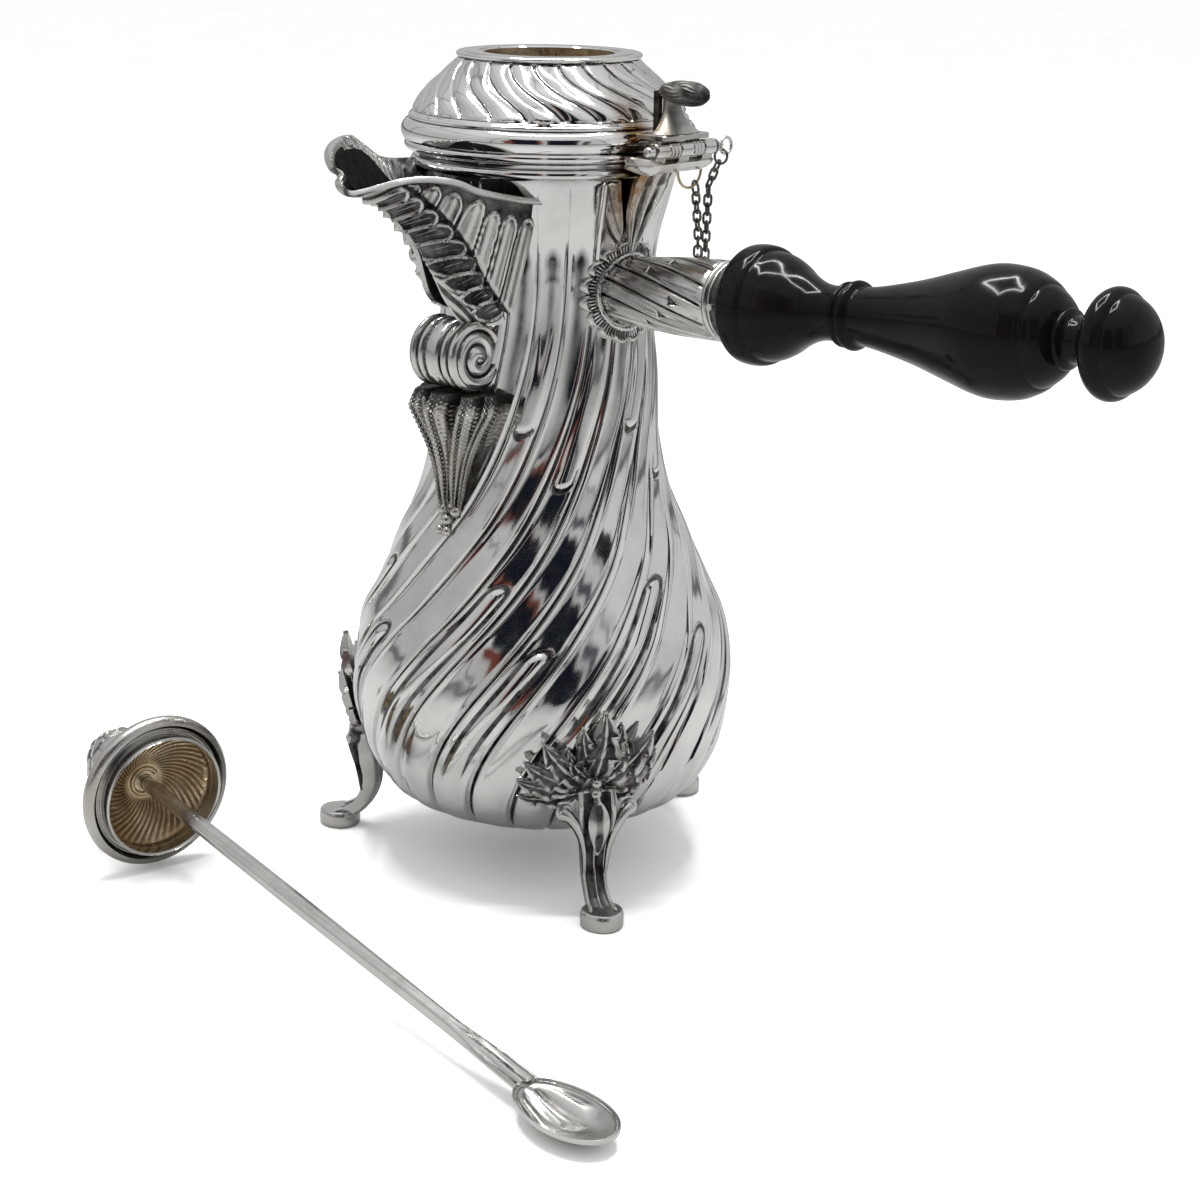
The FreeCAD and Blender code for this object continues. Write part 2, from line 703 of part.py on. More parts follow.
def stirrer_place():
    """The stirrer's own frame: Z along its rod towards the bowl, Y upwards, origin in the cap's rim."""
    along = V(STIRRER_AXIS).normalize()
    upwards = (UP - along * UP.dot(along)).normalize()
    sideways = upwards.cross(along)
    matrix = FreeCAD.Matrix(sideways.x, upwards.x, along.x, 0,
                            sideways.y, upwards.y, along.y, 0,
                            sideways.z, upwards.z, along.z, 0, 0, 0, 0, 1)
    return FreeCAD.Placement(STIRRER_SPOT, FreeCAD.Rotation(matrix))


def lay_down(thing, label):
    thing.Placement = stirrer_place()
    return keep(thing, label)


def stirrer():
    edge, collar, wall = dim("cap_radius"), dim("collar_radius"), dim("cap_wall")
    rod = dim("rod_radius")
    rim_outline = [(collar + 0.02, 0), (edge - 0.6, 0, []), (edge - 0.6, -3.4, [(edge.value, -1.7)]),
                   (edge - 1.6, -4.4), (collar + 0.02, -4.4)]
    lay_down(lathe("stirrer_rim", rim_outline), "stirrer_rim")

    collar_outline = [(collar - wall, -4.4), (collar, -4.4), (collar, dim("collar_height")),
                      (collar - wall, dim("collar_height"))]
    lay_down(lathe("stirrer_collar", collar_outline), "stirrer_collar")

    dome = [(edge - 1.6, -4.42), (5.2, -11.6, [(13.0, -7.2), (8.0, -8.8)]), (rod, -11.6), (rod, -10.4),
            (5.4, -10.4), (edge - 2.9, -4.42, [(8.6, -7.8), (12.6, -6.1)])]
    lay_down(lathe("stirrer_cap", dome), "stirrer_cap")

    knob = [(0, -11.62), (4.6, -11.62), (4.2, -13.4), (7.4, -18.6, [(6.2, -15.4)]),
            (2.6, -29.0, [(6.4, -24.6)]), (0, -30.0)]
    lay_down(lathe("stirrer_knob", knob), "stirrer_knob")

    nut = [(rod, -10.38), (5.0, -10.38), (4.6, -8.8), (rod, -8.6)]
    lay_down(lathe("stirrer_nut", nut), "stirrer_nut")

    shank = [(0, -11.6), (rod - 0.01, -11.6), (rod - 0.01, dim("rod_length") - 3), (1.5, dim("rod_length")),
             (0, dim("rod_length"))]
    lay_down(lathe("stirrer_rod", shank), "stirrer_rod")

    bowl()


def bowl():
    """The spoon's bowl: half of a hollow ellipsoid, cranked a little up from the rod."""
    length, width, depth = dim("bowl_length"), dim("bowl_width"), 4.6
    thickness = 0.9
    outside = primitive("Ellipsoid", "bowl_outside", None, Radius1=length * 0.5, Radius2=width * 0.5,
                        Radius3=depth)
    inside = primitive("Ellipsoid", "bowl_inside", None, Radius1=length * 0.5 - thickness,
                       Radius2=width * 0.5 - thickness, Radius3=depth - thickness)
    above = primitive("Box", "bowl_above", None, Length=40, Width=20, Height=60)
    above.Placement.Base = V(-20, 0, -30)
    hollow = cut("bowl_hollow", outside, inside, above)
    crank = FreeCAD.Placement(V(0, 1.72, 0), FreeCAD.Rotation(V(1, 0, 0), -4.0))
    rod_end, overlap = dim("rod_length").value, 4.5
    forward = FreeCAD.Placement(V(0, 0, rod_end + length.value / 2 - overlap), FreeCAD.Rotation())
    hollow.Placement = stirrer_place().multiply(forward).multiply(crank)
    start = FreeCAD.Placement(V(0, 0, rod_end - 2 * overlap), FreeCAD.Rotation())
    joint = primitive("Cylinder", "bowl_joint", stirrer_place().multiply(start),
                      Radius=dim("rod_radius") + 0.02, Height=2 * overlap + 0.05)
    return keep(cut("stirrer_spoon", hollow, joint), "stirrer_spoon")


# ---------------------------------------------------------------- whole

def build():
    fill_sheet()
    vessel()
    gap = dim("seam_gap").value
    tool = envelope("vessel_envelope", gap)
    relief = envelope("relief_envelope", dim("leaf_relief").value)
    neck_ring()
    spout(tool)
    spout_scroll(tool)
    spout_leaf(tool)
    for label, degrees in (("foot_front", -30), ("foot_rear", 90), ("foot_left", 210)):
        foot(label, degrees, tool, relief)
    handle(tool, relief)
    hinge(tool)
    lid()
    chain()
    stirrer()
    doc.recompute()


def check_and_write():
    failed = [thing.Name for thing in doc.Objects if {"Invalid", "Error"} & set(thing.State)]
    if failed:
        raise RuntimeError(f"these failed: {failed}")
    os.makedirs("parts", exist_ok=True)
    for label, thing in nodes.items():
        shape = thing.Shape
        if shape.isNull() or not shape.isValid() or shape.Volume < 1:
            raise RuntimeError(f"{label} has no valid solid")
        box = shape.optimalBoundingBox(False)
        print(f"{label:20s} solids {len(shape.Solids):3d}  volume {shape.Volume:8.1f}"
              f"  lowest {box.ZMin:7.2f}  highest {box.ZMax:7.2f}")
        shape.exportStep(f"parts/{label}.step")


build()
check_and_write()
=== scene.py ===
"""The looks of the chocolate pot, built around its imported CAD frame.

Shapes are worked out in millimetres and become metres when a mesh is made.  The pot's axis is +Z,
its handle points along +X and its spout along -Y.
"""
import math

import bmesh
import bpy
import numpy as np
from mathutils import Matrix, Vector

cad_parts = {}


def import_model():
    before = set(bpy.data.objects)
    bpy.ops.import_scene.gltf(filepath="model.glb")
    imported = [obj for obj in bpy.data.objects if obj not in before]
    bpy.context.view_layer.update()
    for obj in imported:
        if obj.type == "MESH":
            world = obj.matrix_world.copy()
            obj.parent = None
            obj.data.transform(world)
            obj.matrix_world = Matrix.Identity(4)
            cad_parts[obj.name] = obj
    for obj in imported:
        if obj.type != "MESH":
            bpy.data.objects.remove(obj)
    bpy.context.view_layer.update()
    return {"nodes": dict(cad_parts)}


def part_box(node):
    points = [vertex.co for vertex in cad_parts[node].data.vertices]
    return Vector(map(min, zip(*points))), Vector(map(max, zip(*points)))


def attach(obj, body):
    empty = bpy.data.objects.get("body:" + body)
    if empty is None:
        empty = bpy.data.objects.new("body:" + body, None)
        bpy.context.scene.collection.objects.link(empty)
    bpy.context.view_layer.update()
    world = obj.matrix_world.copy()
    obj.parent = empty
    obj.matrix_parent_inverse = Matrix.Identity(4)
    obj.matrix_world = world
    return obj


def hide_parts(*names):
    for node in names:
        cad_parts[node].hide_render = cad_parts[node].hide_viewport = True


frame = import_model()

MM = 0.001


def corners(node):
    """A node's lowest and highest corners, in millimetres."""
    low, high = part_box(node)
    return np.array(low) / MM, np.array(high) / MM


def middle(node):
    """The centre of a node's box, in millimetres."""
    low, high = corners(node)
    return (low + high) / 2


# ---------------------------------------------------------------- curves and frames

def smooth(points, per=8):
    """A curve through the points, with per steps between each two."""
    p = np.asarray(points, float)
    p = np.vstack([2 * p[0] - p[1], p, 2 * p[-1] - p[-2]])
    t = np.linspace(0, 1, per, endpoint=False)[:, None]
    spans = []
    for a, b, c, d in zip(p, p[1:], p[2:], p[3:]):
        spans.append(0.5 * (2 * b + (c - a) * t + (2 * a - 5 * b + 4 * c - d) * t ** 2
                            + (3 * b - a - 3 * c + d) * t ** 3))
    return np.vstack(spans + [p[-2:-1]])


def evenly(curve, count):
    """The curve again, as count points at equal distances along it."""
    steps = np.linalg.norm(np.diff(curve, axis=0), axis=1)
    travelled = np.concatenate([[0], np.cumsum(steps)])
    wanted = np.linspace(0, travelled[-1], count)
    return np.stack([np.interp(wanted, travelled, curve[:, i]) for i in range(curve.shape[1])], 1)


def bow(start, end, rise, steps=8):
    """An arc from start to end that rises to the left of the straight way by rise."""
    start, end = np.array(start, float), np.array(end, float)
    chord = end - start
    left = np.array([-chord[1], chord[0]]) / np.hypot(*chord)
    t = np.linspace(0, 1, steps + 1)[:, None]
    return start + chord * t + left * rise * 4 * t * (1 - t)


def join(*runs):
    """One outline from several runs of points; a point repeated where two meet is dropped."""
    every = np.vstack([np.asarray(run, float).reshape(-1, 2) for run in runs])
    keep = np.concatenate([[True], np.linalg.norm(np.diff(every, axis=0), axis=1) > 1e-4])
    return every[keep]


def unit(vectors):
    """Vectors scaled to length 1."""
    vectors = np.asarray(vectors, float)
    return vectors / np.maximum(np.linalg.norm(vectors, axis=-1, keepdims=True), 1e-12)


def ease(x):
    """A smooth step from 0 to 1."""
    x = np.clip(x, 0, 1)
    return x * x * (3 - 2 * x)


def bump(x, width):
    """A smooth hump of height 1 about 0."""
    return np.exp(-(np.asarray(x) / width) ** 2)


def full_turn(steps):
    """Angles all round, in radians, without the last that equals the first."""
    return np.linspace(0, 2 * math.pi, steps, endpoint=False)


def circle(radius, steps):
    """A round section."""
    angle = full_turn(steps)
    return np.stack([np.cos(angle), np.sin(angle)], 1) * radius


def around(radius, angle, height):
    """Points at these radii, angles and heights about Z."""
    return np.stack(np.broadcast_arrays(radius * np.cos(angle), radius * np.sin(angle), height), -1)


class Place:
    """A frame of reference: an origin and three axes."""

    def __init__(self, origin, along, upwards=(0, 0, 1)):
        z = unit(along)
        y = unit(np.asarray(upwards, float) - z * np.dot(upwards, z))
        self.axes = np.stack([np.cross(y, z), y, z])
        self.origin = np.asarray(origin, float)

    def put(self, points):
        """Points given in this frame, in the pot's own."""
        return np.asarray(points, float) @ self.axes + self.origin


UPRIGHT = Place((0, 0, 0), (0, 0, 1), (0, 1, 0))


# ---------------------------------------------------------------- meshes

class Clay:
    """Points and faces, in millimetres, that become one piece."""

    def __init__(self):
        self.points, self.faces, self.shades, self.count = [], [], [], 0

    def add(self, points, faces, shade=0.0):
        """shade is how much more tarnish each point holds than its shape alone would keep; it also paints in
        shade, shadow and dark reflections.
        """
        points = np.asarray(points, float)
        shade = np.broadcast_to(shade, points.shape[:-1])
        self.points.append(points.reshape(-1, 3))
        self.shades.append(shade.reshape(-1))
        self.faces += [[i + self.count for i in face] for face in faces]
        self.count += shade.size

    def loft(self, rings, along=False, shade=0.0):
        """Faces between closed rings of points.  along joins the last ring to the first; otherwise
        each end has a cap."""
        rings = np.asarray(rings, float)
        rows, columns = rings.shape[:2]
        faces = grid(rows, columns, along)
        if not along:
            faces.append(list(range(columns)))
            faces.append([(rows - 1) * columns + i for i in range(columns)][::-1])
        self.add(rings, faces, shade)

    def piece(self, name, material, body, slot, *nodes, crease=38, rounds=10):
        """Makes the piece, which rides on a body and stands in for the nodes.  Edges sharper than
        crease degrees stay sharp, and more rounds let wider hollows count as recesses."""
        mesh = bpy.data.meshes.new(name)
        mesh.from_pydata((np.vstack(self.points) * MM).tolist(), [], self.faces)
        work = bmesh.new()
        work.from_mesh(mesh)
        bmesh.ops.recalc_face_normals(work, faces=work.faces)
        work.to_mesh(mesh)
        work.free()
        mesh.shade_smooth()
        mesh.set_sharp_from_angle(angle=math.radians(crease))
        mesh.materials.append(material)
        thing = stand(name, mesh)
        mark_recesses(mesh, np.concatenate(self.shades), rounds)
        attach(thing, body)
        if nodes:
            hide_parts(*nodes)
        return thing


def stand(name, data):
    """A new object in the scene."""
    thing = bpy.data.objects.new(name, data)
    bpy.context.scene.collection.objects.link(thing)
    return thing


def second_finish(thing, material, chosen):
    """Gives another material to the faces that chosen picks."""
    thing.data.materials.append(material)
    for face in thing.data.polygons:
        face.material_index = int(chosen(face))


def grid(rows, columns, close_rows):
    """Four-sided faces between the neighbouring points of closed rings."""
    faces = []
    for i in range(rows if close_rows else rows - 1):
        low, high = i * columns, ((i + 1) % rows) * columns
        for j in range(columns):
            k = (j + 1) % columns
            faces.append([low + j, low + k, high + k, high + j])
    return faces


def mark_recesses(mesh, shade, rounds):
    """Stores how many millimetres each point lies below the smoothed surface, where tarnish gathers, plus its
    shade, which also paints in shade and reflections.
    """
    count = len(mesh.vertices)
    place, normal = np.empty(count * 3), np.empty(count * 3)
    mesh.vertices.foreach_get("co", place)
    mesh.vertices.foreach_get("normal", normal)
    place, normal = place.reshape(-1, 3), normal.reshape(-1, 3)
    ends = np.empty(len(mesh.edges) * 2, np.int32)
    mesh.edges.foreach_get("vertices", ends)
    a, b = ends[0::2], ends[1::2]
    degree = np.maximum(np.bincount(a, minlength=count) + np.bincount(b, minlength=count), 1)
    smoothed = place.copy()
    for _ in range(rounds):
        for axis in range(3):
            field = smoothed[:, axis]
            mean = (np.bincount(a, field[b], count) + np.bincount(b, field[a], count)) / degree
            smoothed[:, axis] = 0.3 * field + 0.7 * mean
    depth = ((smoothed - place) * normal).sum(1) / MM + shade
    stored = mesh.attributes.new("recess", "FLOAT", "POINT")
    stored.data.foreach_set("value", depth.astype(np.float32))


def turned(outline, steps=96, place=UPRIGHT, relief=None):
    """Rings of a turned shape.  relief(angle, radius, height) is added to the radius."""
    outline = np.asarray(outline, float)
    angle = full_turn(steps)[None, :]
    radius, height = outline[:, :1], outline[:, 1:]
    if relief is not None:
        radius = radius + relief(angle, radius, height)
    return place.put(around(radius, angle, height))


def ring_piece(name, outline, material, body, slot, node, steps=128, place=UPRIGHT):
    """A turned piece with a hole: its outline is a closed loop."""
    clay = Clay()
    clay.loft(turned(outline, steps, place), along=True)
    return clay.piece(name, material, body, slot, node)


def ball(clay, centre, radii):
    """A small bead."""
    tilt = np.linspace(0.08, math.pi - 0.08, 10)
    outline = np.stack([np.sin(tilt), np.cos(tilt)], 1)
    clay.loft(turned(outline, 16) * np.array(radii) + np.array(centre))


def sweep(clay, path, section, normals, shade=0.0):
    """A section carried along a path: one for the whole path, or one for each of its points.
    A section point's first number lies across the path, its second along the normal."""
    path, section = np.asarray(path, float), np.asarray(section, float)
    ahead = unit(np.gradient(path, axis=0))
    across = unit(np.cross(ahead, normals))
    lift = np.cross(across, ahead)
    rings = path[:, None] + across[:, None] * section[..., :1] + lift[:, None] * section[..., 1:]
    clay.loft(rings, shade=shade)


def mirrored(half):
    """Steps from 0 up to 0.5, with their mirror image up to 1."""
    half = np.array(half)
    return np.concatenate([half, [0.5], 1 - half[:0:-1]])


def fluting(steps, count):
    """Columns of a fluted surface: how far each lies across its flute, 0..1, and that flute's number."""
    return np.tile(steps, count)[None, :], np.repeat(np.arange(count), len(steps))[None, :]


def leaf(clay, spine, normals, half_width, thick=0.7, cup=0.25, vein=0.25, ribs=0, across=9, pointed=0.75,
         shade=0.0, lobes=0):
    """A leaf, petal or lobe along a spine with outward normals.  cup raises its edges and vein its
    middle.  Below 1, pointed puts its widest place near the root, and lobes notch its outline."""
    t = np.linspace(0, 1, len(spine))
    u = np.linspace(-1, 1, across)
    notch = (t * lobes) % 1.0
    wide = half_width * (np.sin(math.pi * np.clip(0.08 + 0.9 * t, 0, 1) ** pointed) ** 0.8 + 0.02)
    wide = wide * (1 - 0.36 * notch ** 1.3)
    top = cup * half_width * (u ** 2)[None, :] * np.sin(math.pi * t * 0.9 + 0.2)[:, None]
    ridges = np.cos(u * math.pi * ribs) if ribs else 0 * u
    top = top + vein * (bump(u, 0.18) + 0.7 * ridges)[None, :]
    top = top * (0.35 + 0.65 * np.sin(math.pi * (0.1 + 0.8 * t)))[:, None]
    if lobes:
        top = top - 0.55 * bump(np.minimum(notch, 1 - notch), 0.16)[:, None] * np.abs(u)[None, :]
    x = wide[:, None] * u[None, :]
    upper = np.stack([x, top + thick], -1)
    lower = np.stack([x[:, ::-1] * 0.9, np.full_like(x, -thick * 0.4)], -1)
    # painted shade: a darker heart and root, lighter edges, and a lighter underside
    hollow = shade * (np.concatenate([0.9 - 1.5 * u ** 4, -0.3 + 0 * u]) + 0.5 * (1 - t[:, None]))
    sweep(clay, spine, np.concatenate([upper, lower], 1), normals, shade=hollow)


# ---------------------------------------------------------------- materials

def nodes_of(name):
    """A new material, its node tree and its shader."""
    material = bpy.data.materials.new(name)
    material.use_nodes = True
    tree = material.node_tree
    return material, tree, tree.nodes["Principled BSDF"]


def link(tree, source, output, target, entry):
    tree.links.new(source.outputs[output], target.inputs[entry])


def noise(tree, scale, detail=4.0, rough=0.6, distortion=0.0):
    """Cloudy values fixed to the object; scale is in features per metre."""
    place = tree.nodes.new("ShaderNodeTexCoord")
    cloud = tree.nodes.new("ShaderNodeTexNoise")
    cloud.inputs["Scale"].default_value = scale
    cloud.inputs["Detail"].default_value = detail
    cloud.inputs["Roughness"].default_value = rough
    cloud.inputs["Distortion"].default_value = distortion
    link(tree, place, "Object", cloud, "Vector")
    return cloud


def span(tree, source, output, low, high, to_low=0.0, to_high=1.0):
    """Maps low..high of a value onto to_low..to_high, clamped."""
    fit = tree.nodes.new("ShaderNodeMapRange")
    fit.inputs["From Min"].default_value = low
    fit.inputs["From Max"].default_value = high
    fit.inputs["To Min"].default_value = to_low
    fit.inputs["To Max"].default_value = to_high
    link(tree, source, output, fit, "Value")
    return fit


def patches(tree, scale, detail, rough, low, high, to_low=0.0, to_high=1.0):
    """Cloudy values, mapped as in span."""
    return span(tree, noise(tree, scale, detail, rough), "Fac", low, high, to_low, to_high)


def recess(tree, low, high):
    """How deep below its surroundings a point lies, painted shade included: 0 at low millimetres, 1 at high.
    """
    stored = tree.nodes.new("ShaderNodeAttribute")
    stored.attribute_name = "recess"
    return span(tree, stored, "Fac", low, high)


def sums(tree, operation, first, second):
    """A maths node; each operand is a (node, output) pair or a number."""
    node = tree.nodes.new("ShaderNodeMath")
    node.operation = operation
    for entry, value in enumerate((first, second)):
        if isinstance(value, tuple):
            link(tree, value[0], value[1], node, entry)
        else:
            node.inputs[entry].default_value = value
    return node


def blend_colour(tree, factor, first, second):
    """Mixes two colours; each is an RGB triple or a (node, output) pair."""
    mix = tree.nodes.new("ShaderNodeMix")
    mix.data_type = "RGBA"
    link(tree, factor[0], factor[1], mix, "Factor")
    for entry, value in ((6, first), (7, second)):
        if isinstance(value[0], bpy.types.Node):
            link(tree, value[0], value[1], mix, entry)
        else:
            mix.inputs[entry].default_value = (*value, 1.0)
    return mix


def bumps(tree, shader, height, output, strength, distance):
    """Fine roughness of the surface, too small for the mesh; distance is in metres."""
    bump_node = tree.nodes.new("ShaderNodeBump")
    bump_node.inputs["Strength"].default_value = strength
    bump_node.inputs["Distance"].default_value = distance
    link(tree, height, output, bump_node, "Height")
    link(tree, bump_node, "Normal", shader, "Normal")


def by_hinge(tree):
    """How near a point lies to the corner beside the hinge that a cloth never reaches, from 0 to 1."""
    place = tree.nodes.new("ShaderNodeTexCoord")
    centre, reach = (0.034, -0.0058, 0.1755), (0.012, 0.0062, 0.024)
    shift = tree.nodes.new("ShaderNodeMapping")
    shift.inputs["Location"].default_value = [-a / b for a, b in zip(centre, reach)]
    shift.inputs["Scale"].default_value = [1 / b for b in reach]
    link(tree, place, "Object", shift, "Vector")
    away = tree.nodes.new("ShaderNodeVectorMath")
    away.operation = "LENGTH"
    link(tree, shift, "Vector", away, 0)
    near = span(tree, away, "Value", 0.45, 1.1, 1.0, 0.0)
    broken = patches(tree, 240.0, 6.0, 0.7, 0.34, 0.56, 0.35, 1.0)
    return sums(tree, "MULTIPLY", (near, "Result"), (broken, "Result"))


def silver(name, tone=(0.78, 0.78, 0.765), rough=(0.05, 0.13), reach=(0.03, 0.14), brown=0.0, grain=0.15):
    """Polished silver: tarnish stays in the hollows, with the painted shade and dark reflections that pieces
    add there, and faint clouding and handling marks.
    reach gives the depths, in millimetres, where tarnish and painted shade start and are full; brown is how
    stained the surface is, and grain is how rough."""
    material, tree, shader = nodes_of(name)
    shader.inputs["Metallic"].default_value = 1.0
    patchy = patches(tree, 160.0, 5.0, 0.65, 0.25, 0.6, 0.6, 1.0)
    tarnish_and_shade = sums(tree, "MULTIPLY", (recess(tree, *reach), "Result"), (patchy, "Result"))
    haze = patches(tree, 45.0, 6.0, 0.7, 0.42, 0.75)
    dull = tuple(0.76 * value for value in tone)
    base = blend_colour(tree, (haze, "Result"), tone, dull)
    if brown:
        stain = patches(tree, 70.0, 5.0, 0.6, 0.62 - 0.25 * brown, 0.75, 0.0, brown)
        base = blend_colour(tree, (stain, "Result"), (base, 2), (0.30, 0.21, 0.13))
    base = blend_colour(tree, (by_hinge(tree), "Value"), (base, 2), (0.27, 0.17, 0.085))
    # the tarnish colour, which also paints the shade and dark reflections that the pieces add
    base = blend_colour(tree, (tarnish_and_shade, "Value"), (base, 2), (0.028, 0.024, 0.021))
    link(tree, base, 2, shader, "Base Color")
    worn = patches(tree, 220.0, 6.0, 0.7, 0.35, 0.7, *rough)
    rougher = sums(tree, "MULTIPLY", (tarnish_and_shade, "Value"), 0.35)
    total = sums(tree, "ADD", (worn, "Result"), (rougher, "Value"))
    link(tree, total, "Value", shader, "Roughness")
    bumps(tree, shader, noise(tree, 2600.0, 3.0, 0.6), "Fac", grain, 0.00004)
    return material


def ebony():
    """Blackened hardwood under a thin coat of polish, its grain along the handle."""
    material, tree, shader = nodes_of("ebonised_wood")
    streaks = noise(tree, 30.0, 6.0, 0.7, 1.2)
    stretch = tree.nodes.new("ShaderNodeMapping")
    stretch.inputs["Scale"].default_value = (0.12, 1.0, 1.0)
    place = streaks.inputs["Vector"].links[0].from_node
    link(tree, place, "Object", stretch, "Vector")
    link(tree, stretch, "Vector", streaks, "Vector")
    pore = span(tree, streaks, "Fac", 0.35, 0.7)
    colour = blend_colour(tree, (pore, "Result"), (0.002, 0.0019, 0.0019), (0.008, 0.0065, 0.006))
    link(tree, colour, 2, shader, "Base Color")
    link(tree, patches(tree, 150.0, 5.0, 0.7, 0.3, 0.75, 0.10, 0.22), "Result", shader, "Roughness")
    shader.inputs["Specular IOR Level"].default_value = 0.07
    shader.inputs["Coat Weight"].default_value = 0.12
    shader.inputs["Coat Roughness"].default_value = 0.03
    bumps(tree, shader, noise(tree, 420.0, 5.0, 0.6), "Fac", 0.12, 0.00015)
    return material


def oxidised():
    """Silver that has darkened all over."""
    material, tree, shader = nodes_of("oxidised_silver")
    shader.inputs["Metallic"].default_value = 1.0
    patch = patches(tree, 900.0, 4.0, 0.6, 0.35, 0.7)
    colour = blend_colour(tree, (patch, "Result"), (0.075, 0.068, 0.062), (0.30, 0.28, 0.26))
    link(tree, colour, 2, shader, "Base Color")
    link(tree, patches(tree, 600.0, 4.0, 0.6, 0.3, 0.7, 0.22, 0.42), "Result", shader, "Roughness")
    bumps(tree, shader, noise(tree, 3000.0, 3.0, 0.6), "Fac", 0.2, 0.00004)
    return material


def gilt():
    """Worn gilding that has toned to brown where it isn't wiped."""
    material, tree, shader = nodes_of("gilt_interior")
    shader.inputs["Metallic"].default_value = 1.0
    worn = patches(tree, 110.0, 6.0, 0.65, 0.38, 0.62)
    base = blend_colour(tree, (worn, "Result"), (0.50, 0.35, 0.19), (0.66, 0.55, 0.38))
    stain = patches(tree, 260.0, 5.0, 0.7, 0.55, 0.74, 0.0, 0.7)
    dark = sums(tree, "MAXIMUM", (recess(tree, 0.0, 0.08), "Result"), (stain, "Result"))
    colour = blend_colour(tree, (dark, "Value"), (base, 2), (0.11, 0.06, 0.028))
    link(tree, colour, 2, shader, "Base Color")
    link(tree, patches(tree, 300.0, 5.0, 0.7, 0.3, 0.7, 0.2, 0.42), "Result", shader, "Roughness")
    bumps(tree, shader, noise(tree, 1800.0, 4.0, 0.6), "Fac", 0.25, 0.00006)
    return material


def shade_lining():
    """Black for the painted shade inside the spout."""
    material, tree, shader = nodes_of("painted_shade_lining")
    patch = patches(tree, 500.0, 5.0, 0.6, 0.35, 0.7)
    colour = blend_colour(tree, (patch, "Result"), (0.003, 0.003, 0.003), (0.012, 0.011, 0.010))
    link(tree, colour, 2, shader, "Base Color")
    shader.inputs["Roughness"].default_value = 0.7
    shader.inputs["Specular IOR Level"].default_value = 0.05
    return material


def floor_paint():
    """A white table, which the silver sees in a greyer light than the eye does."""
    material, tree, shader = nodes_of("pale_table")
    mark = patches(tree, 14.0, 5.0, 0.6, 0.3, 0.7)
    pale = blend_colour(tree, (mark, "Result"), (0.95, 0.95, 0.95), (0.98, 0.98, 0.98))
    path = tree.nodes.new("ShaderNodeLightPath")
    colour = blend_colour(tree, (path, "Is Glossy Ray"), (pale, 2), (0.40, 0.40, 0.395))
    link(tree, colour, 2, shader, "Base Color")
    shader.inputs["Roughness"].default_value = 0.6
    shader.inputs["Specular IOR Level"].default_value = 0.1
    return material


POLISHED = silver("polished_silver", reach=(0.02, 0.10))
RIM_SILVER = silver("rim_silver", tone=(0.86, 0.86, 0.85), rough=(0.03, 0.09), brown=0.12)
CHASED = silver("chased_silver", tone=(0.66, 0.655, 0.635), rough=(0.16, 0.32), reach=(0.0, 0.09), grain=0.5)
STAINED = silver("stained_silver", tone=(0.60, 0.585, 0.56), rough=(0.16, 0.32), reach=(-0.01, 0.08),
                 brown=0.5, grain=0.4)
WORN = silver("worn_silver", tone=(0.72, 0.715, 0.695), rough=(0.12, 0.26), reach=(0.01, 0.10), brown=0.25,
              grain=0.35)
BRUSHED = silver("brushed_silver", tone=(0.56, 0.56, 0.54), rough=(0.34, 0.5), reach=(0.0, 0.2), grain=0.8)
EBONY = ebony()
OXIDISED = oxidised()
GILT = gilt()
SHADE_LINING = shade_lining()


# ---------------------------------------------------------------- vessel

BODY_LOW, BODY_HIGH = corners("body_shell")
BASE = BODY_LOW[2]
BELLY = BODY_HIGH[0]
WALL = 1.2
FLUTES = 24
# degrees: one flute's share of the round, the first flute's place at the neck, and the whole twist
FLUTE_TURN = 360 / FLUTES
FLUTE_START = -50.5
TWIST = 97.0
# the vessel's outline, from its flat bottom to its mouth, as radius and height
PEAR = smooth([(10.0, BASE), (19.6, BASE + 4), (29.2, BASE + 7.8), (36.9, BASE + 12), (42.4, BASE + 20),
               (45.1, BASE + 28), (BELLY, BASE + 40), (46.2, BASE + 48), (44.1, BASE + 56),
               (40.4, BASE + 64), (35.6, BASE + 76), (30.4, BASE + 88), (27.6, BASE + 101),
               (26.8, BASE + 116), (25.8, BASE + 130), (25.9, BASE + 142), (26.7, BASE + 149),
               (29.0, BASE + 158), (30.7, BASE + 164.5)], 12)


def pear_radius(height):
    """The vessel's radius, without its flutes."""
    return np.interp(height, PEAR[:, 1], PEAR[:, 0])


def twist(height):
    """How far a flute has wound round the belly, in degrees, by the time it is down at height."""
    straight_above, drop = 155.0, 140.0
    return -TWIST * ease(np.clip((straight_above - height) / drop, 0, 1) ** 1.15)


def flute_relief(across, module, height, radius):
    """Height of the fluting.  across runs 0..1 over one flute and module numbers the flutes.
    A sharp groove parts the flutes, with a raised line beside it; each flute swells into a full lobe
    towards the foot and sinks into a channel towards the neck."""
    width = radius * math.radians(FLUTE_TURN)
    side = np.minimum(across, 1 - across) * width
    neck = ease((height - 100) / 40)
    top = ease((height - 153) / 8)
    foot = ease((62 - height) / 40)
    arch = 1 - np.abs(2 * across - 1) ** 2.4
    depth = (0.62 + 0.25 * foot) * (1 - 0.35 * neck) * (1 - 0.62 * top)
    relief = -depth * bump(side, 0.42 + 0.15 * foot)
    relief += (0.30 - 0.1 * neck) * (1 - top) * bump(side - (1.25 - 0.35 * neck), 0.42)
    relief += (0.25 + 1.15 * foot) * arch * (1 - neck)
    channel = (0.15 + 0.42 * neck) * (1 - foot) * (1 - top)
    relief -= channel * bump((across - 0.5) * width, 0.24 * width + 0.25)
    return relief + finger(across, module, height, width)


